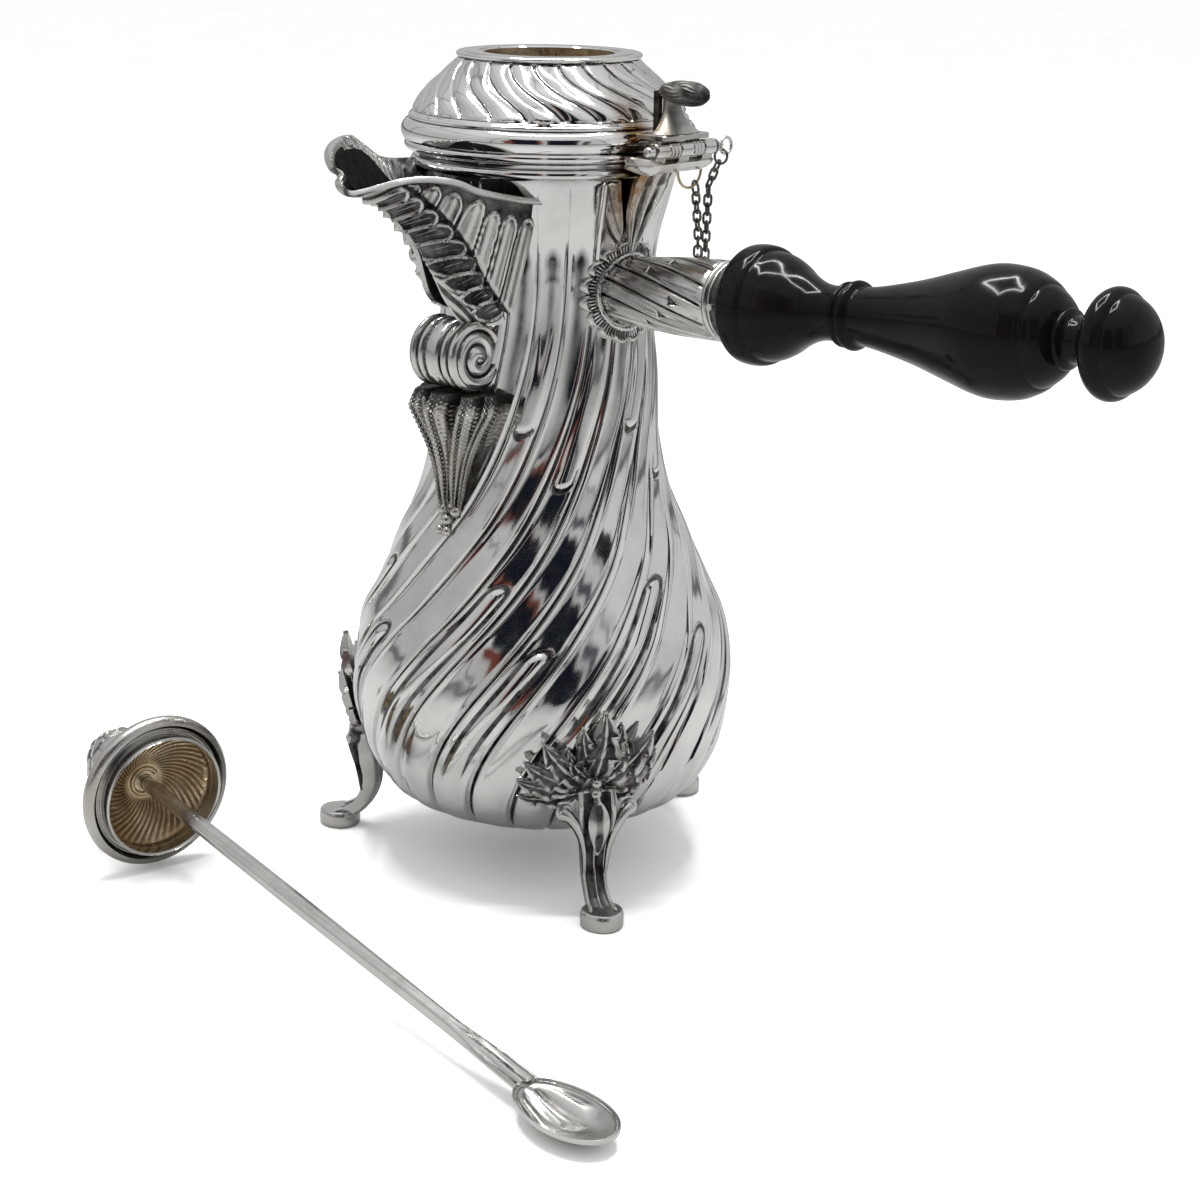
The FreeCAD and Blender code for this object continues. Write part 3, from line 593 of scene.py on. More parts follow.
def finger(across, module, height, width):
    """Narrow tubes that end, or begin, in a rounded cap part of the way down some flutes."""
    reach = np.abs(across - 0.5) * width
    tube = 2.1
    relief = 0.0
    for step, start, end in ((0, 150.0, 113.8), (2, 150.0, 101.0), (2, 78.5, 30.0), (0, 65.0, 24.0)):
        chosen = (module % 4) == step
        low, high = end + tube, start - tube
        past = np.maximum(np.maximum(low - height, height - high), 0.0)
        spread = np.hypot(reach, past) / tube
        fade = ease((start - height) / 25) if start > 100 else ease((height - end) / 22)
        dome = np.sqrt(np.clip(1 - spread ** 2, 0, 1)) * (0.75 * fade + 0.1)
        dip = 0.28 * bump(spread - 1.25, 0.22) * fade
        relief = relief + np.where(chosen, dome - dip, 0.0)
    return relief


def body():
    """The raised vessel: a fluted outer skin, a plain inner one, and the pouring window."""
    across, modules = fluting(mirrored([0, 0.016, 0.036, 0.062, 0.092, 0.128, 0.17, 0.215, 0.27, 0.325, 0.38,
                                        0.44]), FLUTES)
    line = evenly(join(smooth([(0.5, BASE), (5, BASE), (10.0, BASE)], 4), PEAR), 330)
    line = np.vstack([line, [(30.8, BASE + 165.5), (30.8, BODY_HIGH[2])]])
    radius, height = line[:, :1], line[:, 1:]
    fade = ease((radius - 8) / 12) * ease((173.5 - height) / 2)
    angle = np.radians(FLUTE_START + (modules + across) * FLUTE_TURN + twist(height))
    outer = around(radius + flute_relief(across, modules, height, radius) * fade, angle, height)
    floor = np.where(height < BASE + 8, WALL, 0.0)
    inner = around(np.maximum(radius - WALL, 0.3), angle, height + floor)
    clay = Clay()
    window_faces(clay, np.concatenate([outer, inner[::-1]]), *outer.shape[:2])
    clay.piece("Body", POLISHED, "pot", "polished_silver", "body_shell", rounds=14)


def window_faces(clay, whole, rows, columns):
    """All of the vessel's faces but those of the pouring window, whose edges join the two skins."""
    half, low, high = 11.0, 150.0, 170.0
    outside = whole[:rows]
    centre = (outside[:-1] + outside[1:]) / 2
    open_cell = (np.abs(centre[..., 0]) < half) & (centre[..., 1] < 0)
    open_cell &= (centre[..., 2] > low) & (centre[..., 2] < high)
    faces = []
    total = 2 * rows
    for i in range(total - 1):
        mirrored = i if i < rows - 1 else total - 2 - i
        for j in range(columns):
            k = (j + 1) % columns
            if i != rows - 1 and open_cell[mirrored, j]:
                continue
            faces.append([i * columns + j, i * columns + k, (i + 1) * columns + k, (i + 1) * columns + j])
    back = total - 1

    def wall(i, j, m, n):
        """Joins the two skins between two neighbouring points of the window's edge."""
        faces.append([i * columns + j, m * columns + n, (back - m) * columns + n, (back - i) * columns + j])

    for i, j in np.argwhere(open_cell):
        k = (j + 1) % columns
        if not open_cell[i - 1, j]:
            wall(i, j, i, k)
        if not open_cell[i + 1, j]:
            wall(i + 1, j, i + 1, k)
        if not open_cell[i, j - 1]:
            wall(i, j, i + 1, j)
        if not open_cell[i, k]:
            wall(i, k, i + 1, k)
    faces.append(list(range(columns)))
    faces.append([(total - 1) * columns + i for i in range(columns)])
    clay.add(whole, faces)


def ring_at_neck():
    """The moulded ring at the vessel's mouth."""
    high = corners("neck_ring")[1]
    r, z = high[0], high[2]
    inner = 30.86
    outline = join([(inner, z - 6.2), (r - 3.3, z - 6.2)], bow((r - 2.9, z - 5.9), (r - 2.3, z - 3.7), -0.75),
                   bow((r - 2.6, z - 3.5), (r - 1.3, z - 2.0), 0.45),
                   bow((r - 1.0, z - 1.9), (r - 0.8, z), -0.55), [(inner, z)])
    ring_piece("Neck_ring", outline, RIM_SILVER, "pot", "polished_silver", "neck_ring", 192)


# ---------------------------------------------------------------- lid

def lid():
    """The lid's moulded rim, its crown and the lip of its hole."""
    low, high = corners("lid_rim")
    z, rim = low[2], high[0]
    inner = corners("lid_bezel")[1][0] + 0.02
    outline = join([(inner, z), (rim - 1.6, z)], bow((rim - 1.0, z + 0.1), (rim - 1.5, z + 4.3), -0.85, 14),
                   [(rim - 2.3, z + 4.6)], bow((rim - 2.4, z + 4.7), (rim - 2.8, z + 5.9), -0.4),
                   [(rim - 3.2, z + 6.4), (inner, z + 6.4)])
    ring_piece("Lid_rim", outline, RIM_SILVER, "lid", "polished_silver", "lid_rim", 192)
    crown()
    mouth()


def mouth():
    """The lip round the lid's hole, gilt inside."""
    low, high = corners("lid_mouth_ring")
    top, edge, hole = high[2], high[0], 15.6
    lip = join([(hole, low[2]), (hole + 1.0, low[2]), (hole + 1.0, top - 1.15), (edge - 0.6, top - 1.15)],
               bow((edge - 0.4, top - 1.1), (edge - 0.8, top), -0.45),
               bow((edge - 1.6, top), (hole + 0.4, top), 0.12), [(hole, top - 0.3)])
    ring = ring_piece("Lid_mouth_ring", lip, RIM_SILVER, "lid", "polished_silver", "lid_mouth_ring", 160)

    def gilded(face):
        x, y, height = face.center / MM
        return math.hypot(x, y) < hole + 0.12 and height < top - 0.25

    second_finish(ring, GILT, gilded)


def crown():
    """The lid's domed crown, with flutes that swirl down it in an S."""
    low, high = corners("lid_shell")
    foot_z, top, edge = low[2], high[2], high[0]
    outer = smooth([(edge, foot_z), (edge - 0.7, foot_z + 1.2), (edge - 3.3, foot_z + 4.6),
                    (edge - 6.9, foot_z + 8.0), (21.2, top)], 14)
    outer = evenly(outer, 64)
    inner = smooth([(20.4, top), (24.2, foot_z + 7.2), (edge - 4.2, foot_z + 2.8), (edge - 1.6, foot_z)], 8)
    inner = evenly(inner, 20)
    across, modules = fluting(mirrored([0, 0.02, 0.045, 0.08, 0.13, 0.19, 0.26, 0.34, 0.42]), FLUTES)
    first_flute = -55.0
    start = first_flute + (modules + across) * FLUTE_TURN
    down = (top - outer[:, 1:]) / (top - foot_z)
    lean = 27.0 * ease(down ** 1.1) + 3.0 * down
    width = outer[:, :1] * math.radians(FLUTE_TURN)
    side = np.minimum(across, 1 - across) * width
    deep = 0.45 + 0.75 * down
    arch = 1 - np.abs(2 * across - 1) ** 2.0
    pillow = np.sin(math.pi * np.clip(down, 0, 1)) ** 0.5
    ends = ease(down / 0.06) * ease((1.0 - down) / 0.05)
    relief = (deep * (arch * (0.55 + 0.45 * pillow)) - 0.5 * bump(side, 0.3) - 0.35 * deep) * ends
    relief += 0.22 * np.sin(down * 9.0 + modules * 1.7) * arch * ends
    clay = Clay()
    clay.loft(np.concatenate([around(outer[:, :1] + relief, np.radians(start + lean), outer[:, 1:]),
                              around(inner[:, :1], np.radians(start), inner[:, 1:])]), along=True)
    clay.piece("Lid_crown", POLISHED, "lid", "polished_silver", "lid_shell", rounds=14)


# ---------------------------------------------------------------- handle

SOCKET_END = 57.0


def handle_place():
    """The handle's own frame: Z along the grip, X towards +Y, Y upwards."""
    rise = math.radians(2.6)
    centre = middle("socket_ferrule")
    start = (0, 0, centre[2] - centre[0] * math.tan(rise))
    return Place(start, (math.cos(rise), 0, math.sin(rise)))


def socket(place):
    """The silver tube of the handle, with twelve spiral flutes that break off in small darts."""
    flutes, bore = 12, 6.4
    root, end = 24.4, SOCKET_END
    line = evenly(smooth([(7.7, root), (7.9, 32), (8.7, 44), (9.0, end)]), 110)
    radius, reach = line[:, :1], line[:, 1:]
    across, module = fluting(np.arange(16) / 16, flutes)
    straight = (module + across) * 2 * math.pi / flutes
    angle = straight + math.radians(62) * (reach - 25) / 32
    width = 2 * math.pi * radius / flutes
    side = np.minimum(across, 1 - across) * width
    relief = 0.32 * (1 - np.abs(2 * across - 1) ** 2) - 0.42 * bump(side, 0.32)
    relief += 0.16 * bump(side - 0.75, 0.25)
    for offset, start in ((0, 38.0), (1, 47.0), (2, 43.0)):
        past = (reach - start) / 3.4
        inside = (np.abs(across - 0.5) * width < 1.0 * (1 - past)) & (past > 0) & (module % 3 == offset)
        relief -= 0.4 * inside
    outer = around(radius + relief * ease((end - reach) / 1.2), angle, reach)
    inner = around(bore, straight, np.array([[end], [root]]))
    clay = Clay()
    clay.loft(place.put(np.concatenate([outer, inner])), along=True)
    clay.piece("Handle_socket", WORN, "pot", "chased_silver", "handle_socket")


def ferrule(place):
    """The moulded ring that ends the socket."""
    start, end, bore = SOCKET_END, 63.6, 6.4
    beads = [bow((8.9, start + 0.1), (8.9, start + 1.3), -0.5), [(8.75, start + 1.5)],
             bow((8.9, start + 1.7), (8.9, start + 2.5), -0.35), [(8.7, start + 2.7), (8.8, start + 4.6)],
             bow((8.9, start + 4.8), (8.9, start + 5.5), -0.3), bow((9.0, start + 5.7), (8.9, end), -0.4)]
    outline = join([(bore, start), (8.6, start)], *beads, [(bore, end)])
    ring_piece("Socket_ferrule", outline, WORN, "pot", "polished_silver", "socket_ferrule", place=place)


def rosette(place):
    """A collar of scalloped, comb-ribbed petals that lie on the neck round the socket."""
    petals, combs = 16, 5
    centre_z = place.origin[2] + 1.0

    def saddle(turn, reach, lift):
        y, z = reach * np.cos(turn), centre_z + reach * np.sin(turn)
        return np.stack([np.sqrt((pear_radius(z) + lift) ** 2 - y ** 2), y, z], -1)

    across, number = fluting(np.arange(30) / 30, petals)
    turn = (number + across) * 2 * math.pi / petals
    share = np.linspace(0, 1, 26)[:, None]
    scallop = np.sqrt(np.clip(1 - (2 * across - 1) ** 2, 0, 1))
    reach = 8.0 + share * (2.5 + 1.9 * scallop)
    edge = bump(share - 0.88, 0.09)
    teeth = np.cos(2 * math.pi * combs * across)
    comb = 0.22 * teeth * ease((share - 0.25) / 0.15) * ease((0.84 - share) / 0.06)
    valley = np.minimum(across, 1 - across)
    lift = 0.75 + 0.55 * edge + comb - 0.3 * ease((share - 0.93) / 0.07) - 0.35 * bump(valley, 0.05) * share
    # painted shade between the comb's teeth, in the valleys and underneath, and a lighter painted edge
    shade = 0.09 * (teeth < 0) * (share > 0.3) * (share < 0.82) + 0.10 * bump(valley, 0.06) - 0.05 * edge
    clay = Clay()
    clay.loft(np.concatenate([saddle(turn, reach, lift), saddle(turn, reach, -0.4 + 0 * lift)[::-1]]),
              along=True, shade=np.concatenate([shade, shade + 0.2]))
    turn = np.linspace(0, 2 * math.pi, 145)
    ring = saddle(turn, 8.9 + 0.12 * np.cos(turn * 48), 1.0)
    sweep(clay, ring, circle(0.5, 8), unit(ring * (1, 1, 0)))
    clay.piece("Socket_rosette", CHASED, "pot", "chased_silver", "socket_rosette")


def grip(place):
    """The turned wooden handle: ball, waist, beads, a long baluster and an end knob."""
    outline = join(
        [(0.4, 63.7), (11.6, 63.7)],
        smooth([(12.3, 63.9), (13.3, 65.0), (13.6, 67.2), (13.4, 69.4), (12.9, 70.4)]),
        smooth([(12.4, 70.6), (12.3, 71.4), (11.8, 73.6), (10.5, 76.4), (8.5, 79.6), (6.8, 83.4), (6.1, 86.8),
                (6.2, 90.0)]),
        bow((6.4, 90.6), (6.5, 92.3), -0.8), bow((6.6, 92.5), (6.6, 95.4), -1.1),
        smooth([(6.3, 95.8), (7.1, 101.5), (9.2, 111.5), (11.7, 120.5), (13.6, 127.5), (14.15, 132.2),
                (13.6, 137.4), (12.2, 140.9), (11.2, 142.4)]),
        smooth([(10.7, 142.6), (10.3, 143.6), (8.9, 145.4), (7.3, 146.6), (6.0, 147.0)]),
        bow((5.9, 147.2), (5.6, 149.0), -0.7),
        smooth([(4.9, 149.6), (4.8, 152.2), (5.8, 154.2), (8.4, 155.6), (10.6, 156.6), (11.55, 158.2),
                (11.5, 159.8), (10.8, 161.0)]),
        smooth([(10.3, 161.2), (9.9, 162.4), (8.4, 164.6), (6.0, 166.5), (3.0, 167.5), (0.4, 167.8)]))
    clay = Clay()
    clay.loft(turned(evenly(outline, 420), 128, place))
    clay.piece("Handle_grip", EBONY, "pot", "ebonised_wood", "handle_grip", crease=60, rounds=1)


# ---------------------------------------------------------------- feet

def on_belly(degrees, side, height, lift):
    """Points side millimetres round the belly from a foot's middle, and lift millimetres out from it."""
    radius = pear_radius(height)
    turn = np.radians(degrees) + np.asarray(side) / np.maximum(radius, 20)
    return around(radius + lift, turn, height)


def leaflet(clay, degrees, start, end, half_width, tip):
    """A notched leaflet over the belly: raised edges, a heart darkened with painted shade, and a tip that
    turns outwards.
    """
    start, end = np.array(start), np.array(end)
    ahead = end - start
    aside = np.array([-ahead[1], ahead[0]]) / np.linalg.norm(ahead) * math.copysign(0.8, -end[0])
    t = np.linspace(0, 1, 44)[:, None]
    side, height = (start + ahead * t + aside * np.sin(math.pi * t)).T
    t = t[:, 0]
    spine = on_belly(degrees, side, height, 0.9 + (tip - 0.9) * t ** 1.8 + 0.7 * np.sin(math.pi * t))
    outward = unit(on_belly(degrees, side, height, 1.0) - on_belly(degrees, side, height, 0.0))
    leaf(clay, spine, outward, half_width * 1.12, thick=0.85, cup=0.5, vein=0.5, across=23, pointed=0.8,
         shade=0.07, lobes=3)


def bed(clay, degrees):
    """The ground between the leaves, darkened with painted shade: a fan with a scalloped edge, close over the
    belly.
    """
    turn = full_turn(96)[None, :]
    share = np.linspace(0.05, 1, 12)[:, None]
    edge = (1 + 0.09 * np.abs(np.sin(turn * 5.5))) * share
    side = 12.6 * np.sin(turn) * edge * (1 - 0.15 * np.cos(turn))
    height = 38.0 + 10.8 * np.cos(turn) * edge
    over = on_belly(degrees, side, height, 1.0 - share ** 6)
    under = on_belly(degrees, side, height, -0.5)
    clay.loft(np.concatenate([over, under[::-1]]), shade=0.3)


def leg(clay, axes):
    """A fluted leg in an S, from the toe up to the belly."""
    line = evenly(smooth([(56.4, 2.0), (54.4, 2.9), (51.6, 3.8), (48.6, 5.7), (46.3, 9.0), (45.0, 13.2),
                          (45.3, 18.2), (46.6, 23.0), (47.2, 27.4), (46.2, 31.5)]), 44)
    t = np.linspace(0, 1, 44)
    half_width = np.interp(t, [0, 0.1, 0.25, 0.5, 0.7, 0.85, 1], [3.9, 3.2, 2.9, 3.0, 3.7, 4.7, 4.6])[:, None]
    deep = np.interp(t, [0, 0.12, 0.3, 0.5, 0.7, 0.9, 1], [3.2, 3.6, 4.2, 5.0, 6.0, 6.6, 5.0])[:, None]
    u = np.linspace(-1, 1, 21)
    rim = np.abs(u) - 0.86
    front = deep * (0.36 + 0.16 * bump(rim, 0.13) + 0.15 * bump(u, 0.2) - 0.10 * (1 - u ** 2))
    back = -deep * 0.42 * (1 - 0.5 * u ** 4)
    section = np.concatenate([np.stack([half_width * u, front], -1),
                              np.stack([half_width * u[::-1] * 0.94, back], -1)], 1)
    step = np.gradient(line, axis=0)
    path = np.stack([line[:, 0], 0 * t, line[:, 1]], 1) @ axes
    normals = np.stack([step[:, 1], 0 * t, -step[:, 0]], 1) @ axes
    # painted dark reflection: a dark leg with lighter ridges along its edges and middle, and a darker back
    shade = np.concatenate([0.24 - 0.28 * bump(rim, 0.10) - 0.13 * bump(u, 0.12), 0.2 + 0 * u])
    sweep(clay, path, section, normals, shade)


def toe(clay, axes):
    """A flat, round-ended pad."""
    turn = full_turn(36)
    edge = np.stack([5.2 * np.cos(turn), 5.1 * np.sin(turn) * (1 - 0.10 * np.cos(turn)), 0 * turn], 1)
    levels = ((0.94, 0.02), (1.0, 0.4), (1.02, 1.5), (1.02, 3.0), (0.98, 3.9), (0.9, 4.3), (0.8, 4.2),
              (0.2, 4.4))
    clay.loft([(edge * size + (54.4, 0, rise)) @ axes for size, rise in levels], shade=-0.05)


def horns(clay, axes):
    """Two horns that rise from the leg and curl outwards below the leaves."""
    wire = circle(1.0, 14)
    for hand in (-1, 1):
        horn = smooth([(47.4, hand * 2.6, 10.5), (48.2, hand * 3.1, 17), (48.9, hand * 4.4, 22),
                       (48.6, hand * 6.6, 25.8), (47.2, hand * 9.0, 27.2)], 6) @ axes
        size = np.interp(np.linspace(0, 1, len(horn)), [0, 0.3, 0.75, 0.92, 1], [0.45, 0.75, 1.35, 2.0, 1.5])
        # painted shade on the horns, with a lighter ridge along their outer side, and on the curls
        sweep(clay, horn, wire * size[:, None, None], axes[0], 0.9 - 0.9 * bump(wire[:, 1] - 0.95, 0.3))
        turn = np.linspace(-0.5, 4.6, 22)
        curl = np.stack([48.2 + 0 * turn, hand * (8.0 + 1.5 * np.cos(turn)), 27.4 + 1.5 * np.sin(turn)], 1)
        sweep(clay, curl @ axes, circle(0.6, 8), axes[0], 0.25)


def foot(name, node, degrees):
    """A cast foot and its spray of leaves, at an angle round the pot; its axes are outwards, aside, up."""
    turn = math.radians(degrees)
    axes = np.array([[math.cos(turn), math.sin(turn), 0], [-math.sin(turn), math.cos(turn), 0], [0, 0, 1]])
    clay = Clay()
    leg(clay, axes)
    toe(clay, axes)
    horns(clay, axes)
    t = np.linspace(0, 1, 12)
    calyx = np.stack([48.4 + 1.9 * np.sin(math.pi * t), 0 * t, 16.5 + 13.0 * t], 1) @ axes
    # the calyx darkened with painted shade
    leaf(clay, calyx, axes[0], 2.6, thick=1.1, cup=-0.3, vein=0.0, pointed=1.5, shade=0.42)
    ball(clay, on_belly(degrees, 0, 30.9, 3.6), (1.7, 1.7, 1.5))
    ball(clay, on_belly(degrees, 0, 33.7, 3.2), (1.35, 1.35, 1.3))
    bed(clay, degrees)
    for start, end, half_width, tip in (
            ((-4.0, 30.6), (-17.6, 30.4), 2.1, 2.4), ((-5.5, 32.0), (-18.2, 35.2), 2.4, 3.0),
            ((-5.0, 33.2), (-16.6, 40.0), 2.7, 3.2), ((-3.0, 33.4), (-12.6, 45.2), 3.1, 3.8),
            ((-2.0, 34.8), (-6.8, 42.8), 2.0, 2.6), ((3.0, 30.6), (11.0, 31.6), 1.9, 2.4),
            ((4.5, 31.8), (13.2, 36.2), 2.3, 3.0), ((4.5, 33.2), (13.8, 41.4), 2.6, 3.2),
            ((3.0, 33.4), (12.4, 46.4), 3.0, 4.0), ((2.0, 34.8), (6.6, 43.4), 2.0, 2.8),
            ((-0.9, 37.2), (-4.0, 49.0), 2.4, 3.8), ((1.0, 37.4), (4.8, 49.4), 2.4, 3.8),
            ((0.0, 34.4), (0.6, 53.0), 3.7, 5.0)):
        leaflet(clay, degrees, start, end, half_width, tip)
    clay.piece(name, CHASED, "pot", "chased_silver", node)


# ---------------------------------------------------------------- spout

def spout_curves():
    """The spout's keel, the inner edge of its mouth and the outer edge of its lip, as (side, reach,
    height).  All three run from the neck on the handle's side, round the tip, to the neck again."""
    lip = [(19.6, 22, 168.4), (18.6, 28, 169.2), (17, 38.8, 171.7), (15, 43.4, 173.8), (13, 47.9, 174.8),
           (11, 52.4, 175.0), (9, 56.5, 174.5), (7.8, 61, 173.6), (6, 64.6, 172.7), (4.2, 66.7, 172.4),
           (2.2, 67.8, 173.4), (1.0, 67.6, 174.9), (0, 65.8, 176.2), (-1.6, 66.8, 177.4), (-3.6, 66.6, 179.4),
           (-5.2, 65.0, 181.4), (-6.0, 62.0, 183.2), (-5.8, 58.2, 183.6), (-6.8, 53.5, 181.2),
           (-9.0, 48.3, 178.6), (-12.6, 43, 177.0), (-15.8, 35.5, 175.8), (-18.8, 22, 175.0)]
    mouth_edge = [
        (18.2, 22, 167.6), (17.2, 28, 168.4), (15.6, 38.8, 170.8), (13.7, 43.4, 172.8), (11.8, 47.9, 173.8),
        (9.9, 52.4, 174.1), (8.1, 56.5, 173.7), (6.9, 60.8, 172.8), (5.2, 64.2, 171.9), (3.7, 66, 171.8),
        (1.8, 66.4, 173), (0.6, 66.0, 174.2), (-0.4, 64.8, 175.2), (-1.9, 65.3, 176.4), (-3.4, 64.8, 178.4),
        (-4.7, 63.2, 180), (-5.0, 60.8, 181.2), (-5.0, 57.6, 181.4), (-6, 53, 178.8), (-7.4, 48.3, 175.2),
        (-9, 43, 171.8), (-11.5, 36, 169.4), (-15.5, 22, 168.4)]
    keel = [(10, 22.6, 139.5), (7.6, 27, 138.9), (4.6, 32.6, 139.6), (2.4, 36.6, 145.6), (1.4, 40.6, 153.6),
            (1.1, 45, 160), (0.8, 49.8, 164.6), (0.6, 54.8, 168.6), (0.4, 59.4, 170.6), (0.2, 62.8, 171.2),
            (0.1, 64.2, 171.8), (0, 64.4, 172.8), (-0.1, 63.6, 173.2), (-0.3, 63.4, 172.8),
            (-0.4, 62.8, 172.2), (-0.4, 61.8, 171.6), (-0.5, 60, 171), (-0.6, 57, 169.8), (-0.8, 52.5, 167),
            (-1, 47.5, 162.6), (-1.4, 42.3, 156.6), (-3, 36.6, 145.6), (-10, 22.6, 139.5)]
    return (smooth(curve, 28)[:, None] for curve in (keel, mouth_edge, lip))


def sheet_normals(points, inside):
    """The normals of a grid of points, turned away from the points inside it."""
    across, along = np.gradient(points, axis=1), np.gradient(points, axis=0)
    normals = unit(np.cross(along, across))
    facing_in = ((points - inside) * normals).sum(-1, keepdims=True)
    return normals * np.where(facing_in < 0, -1.0, 1.0)


def along_line(line, reach, height):
    """How far along a line each point lies, and how far to its neck side, in millimetres."""
    step = np.gradient(line, axis=0)
    run = np.concatenate([[0], np.cumsum(np.linalg.norm(np.diff(line, axis=0), axis=1))])
    away = (reach[..., None] - line[:, 0]) ** 2 + (height[..., None] - line[:, 1]) ** 2
    nearest = away.argmin(-1)
    ahead = unit(step)[nearest]
    offset = np.stack([reach, height], -1) - line[nearest]
    past = (offset * ahead).sum(-1)
    return run[nearest] + past, offset[..., 1] * -ahead[..., 0] + offset[..., 0] * ahead[..., 1]


def shells(run, side):
    """A string of overlapping, ribbed shells, with its height and its tarnish and painted shade: dark hollows
    and lighter rims.
    """
    relief, tarnish_and_shade = np.zeros(run.shape), np.zeros(run.shape)
    half = 2.9
    for i in range(9):
        start, tall = 3.0 + 4.95 * i, 3.5 - 0.04 * i
        x, y = (run - start - 0.28 * side) / half, side / tall
        away = np.hypot(x, y)
        ribs = np.cos(20 * np.arctan2(x - 0.25, y + 1.15))
        rim = bump(away - 0.91, 0.12)
        within = away < 0.8
        hollow = -0.45 * np.clip(1 - away ** 2, 0, 1)
        inside = away < 1.08
        relief = np.where(inside, 0.35 + 1.05 * rim + 0.13 * ribs * within + hollow, relief)
        # painted shade in each hollow, varying with its ribs, and a lighter painted rim
        tarnish_and_shade = np.where(inside, (0.17 - 0.06 * ribs) * within - 0.08 * rim, tarnish_and_shade)
    return relief, tarnish_and_shade


def pipes(reach, share, height):
    """Upright flutes with arched tops between the shells and the neck."""
    pitch = 4.8
    number, place = np.divmod((reach - 21.4) / pitch, 1.0)
    x = 2 * place - 1
    arch = np.hypot(x * 1.12, np.maximum(share - 0.62 - 0.015 * number, 0) / 0.09)
    step = 158.0 + 3.0 * number
    lower_arch = np.hypot(x * 1.12, np.maximum(height - step, 0) / 3.0)
    tiered = (number == 2) | (number == 3)
    arch = np.where(tiered & (height < step + 3.4), np.minimum(lower_arch, 1.3), arch)
    tube = np.sqrt(np.clip(1 - arch ** 2, 0, 1))
    grain = 0.015 * np.sin(reach * 9.1 + 3 * np.sin(height * 5.3)) * np.sin(height * 8.7) * (arch < 0.85)
    relief = 0.8 * tube + 0.55 * bump(arch - 0.95, 0.11) + grain
    # painted shade between the pipes, a lighter painted outline along their edges, and streaked darkening
    # inside them
    tarnish_and_shade = 0.2 * ease((arch - 0.97) / 0.12) - 0.1 * bump(arch - 0.95, 0.15)
    tarnish_and_shade = tarnish_and_shade + 0.08 * ease((0.88 - arch) / 0.15) * (0.6 + 0.4 * np.cos(x * 9 + number))
    return relief, tarnish_and_shade


def chasing(sheet, share):
    """The spout's outside: shells along the keel, pipes towards the neck and cords before them."""
    reach, height = sheet[..., 1], sheet[..., 2]
    line = smooth([(58.5, 172.0), (51.2, 167.8), (44.5, 162.4), (38.8, 155.6), (34.2, 149.8), (29.2, 144.1),
                   (24.0, 138.4)], 12)
    run, side = along_line(line, reach, height)
    shell_height, shell_tarnish_and_shade = shells(run, side)
    pipe_height, pipe_tarnish_and_shade = pipes(reach, share, height)
    past_shells = side - 3.6 + 0.03 * run
    neckward = ease(past_shells / 0.5)
    frontward = ease((-side - 1.9) / 1.5)
    middle_part = (1 - neckward) * (1 - frontward)
    cords = np.cos(2 * math.pi * side / 1.5)
    seam = past_shells - 0.1
    relief = shell_height * middle_part + pipe_height * neckward + 0.2 * cords * frontward
    # painted shade between the cords here, and along the seam between shells and pipes below
    tarnish_and_shade = shell_tarnish_and_shade * middle_part + pipe_tarnish_and_shade * neckward + 0.06 * frontward * (cords < 0)
    return relief - 0.8 * bump(seam, 0.55), tarnish_and_shade + 0.2 * bump(seam, 0.6)


def spout():
    """The open spout: one sheet from keel to lip, chased outside and ribbed inside its far wall."""
    keel, mouth_edge, lip = spout_curves()
    t = np.linspace(0, 1, len(keel))[:, None]
    share = np.concatenate([np.linspace(0, 0.8, 110)[:-1], np.linspace(0.8, 1.0, 16)])[None, :]
    climb = np.clip(share / 0.8, 0, 1)[..., None]
    flare = np.clip((share - 0.8) / 0.2, 0, 1)[..., None]
    sheet = keel * (1 - climb) + mouth_edge * climb
    sheet = sheet * (1 - flare) + (mouth_edge * (1 - flare) + lip * flare) * flare
    outward = sheet_normals(sheet, sheet * (0, 1, 0) + (0, -6.0, 192.0))
    relief, tarnish_and_shade = chasing(sheet, share)
    below_lip = ease((0.90 - share) / 0.06)
    near_side = ease((0.42 - np.minimum(t, 1 - t)) / 0.03)
    scaled = 0.25 * np.cos(t * 300) * ease((share - 0.3) / 0.3) * (1 - near_side)
    lift = (relief * near_side + scaled) * below_lip * ease((share + 0.01) / 0.03)
    lift = lift + 0.55 * bump(share - 0.985, 0.022)
    outer = sheet + outward * lift[..., None]
    outer_tarnish_and_shade = (tarnish_and_shade * near_side + 0.06 * (1 - near_side)) * below_lip
    # painted shade on the underside of the lip's flare
    outer_tarnish_and_shade = outer_tarnish_and_shade + 0.10 * bump(share - 0.88, 0.03)
    far = (t > 0.55) * ease((t - 0.72) / 0.05)
    ribs = np.cos(t * 260 + 5 * (share - 0.85))
    ribbed = 0.42 * ribs * ease((share - 0.70) / 0.08) * ease((0.985 - share) / 0.02) * far
    inner = sheet - outward * (1.0 - ribbed)[..., None]
    # painted shade deep inside the spout, a lighter far wall, and painted shade between the far wall's ribs
    inner_tarnish_and_shade = 0.4 * ease((0.76 - share) / 0.08) - 0.06 * far
    inner_tarnish_and_shade = inner_tarnish_and_shade + 0.14 * (ribs < -0.5) * far * (share < 0.97) * (share > 0.74)
    inner_tarnish_and_shade = inner_tarnish_and_shade + 0.05 * ease((0.97 - share) / 0.02) * (1 - far)
    clay = Clay()
    clay.loft(np.concatenate([outer, inner[:, ::-1]], 1) * (1, -1, 1),
              shade=np.concatenate([outer_tarnish_and_shade, inner_tarnish_and_shade[:, ::-1]], 1))
    clay.piece("Spout", CHASED, "pot", "chased_silver", "spout", crease=50)
    throat(sheet, outward, np.searchsorted(share[0], np.where(far.any(1), 0.73, 0.86)))


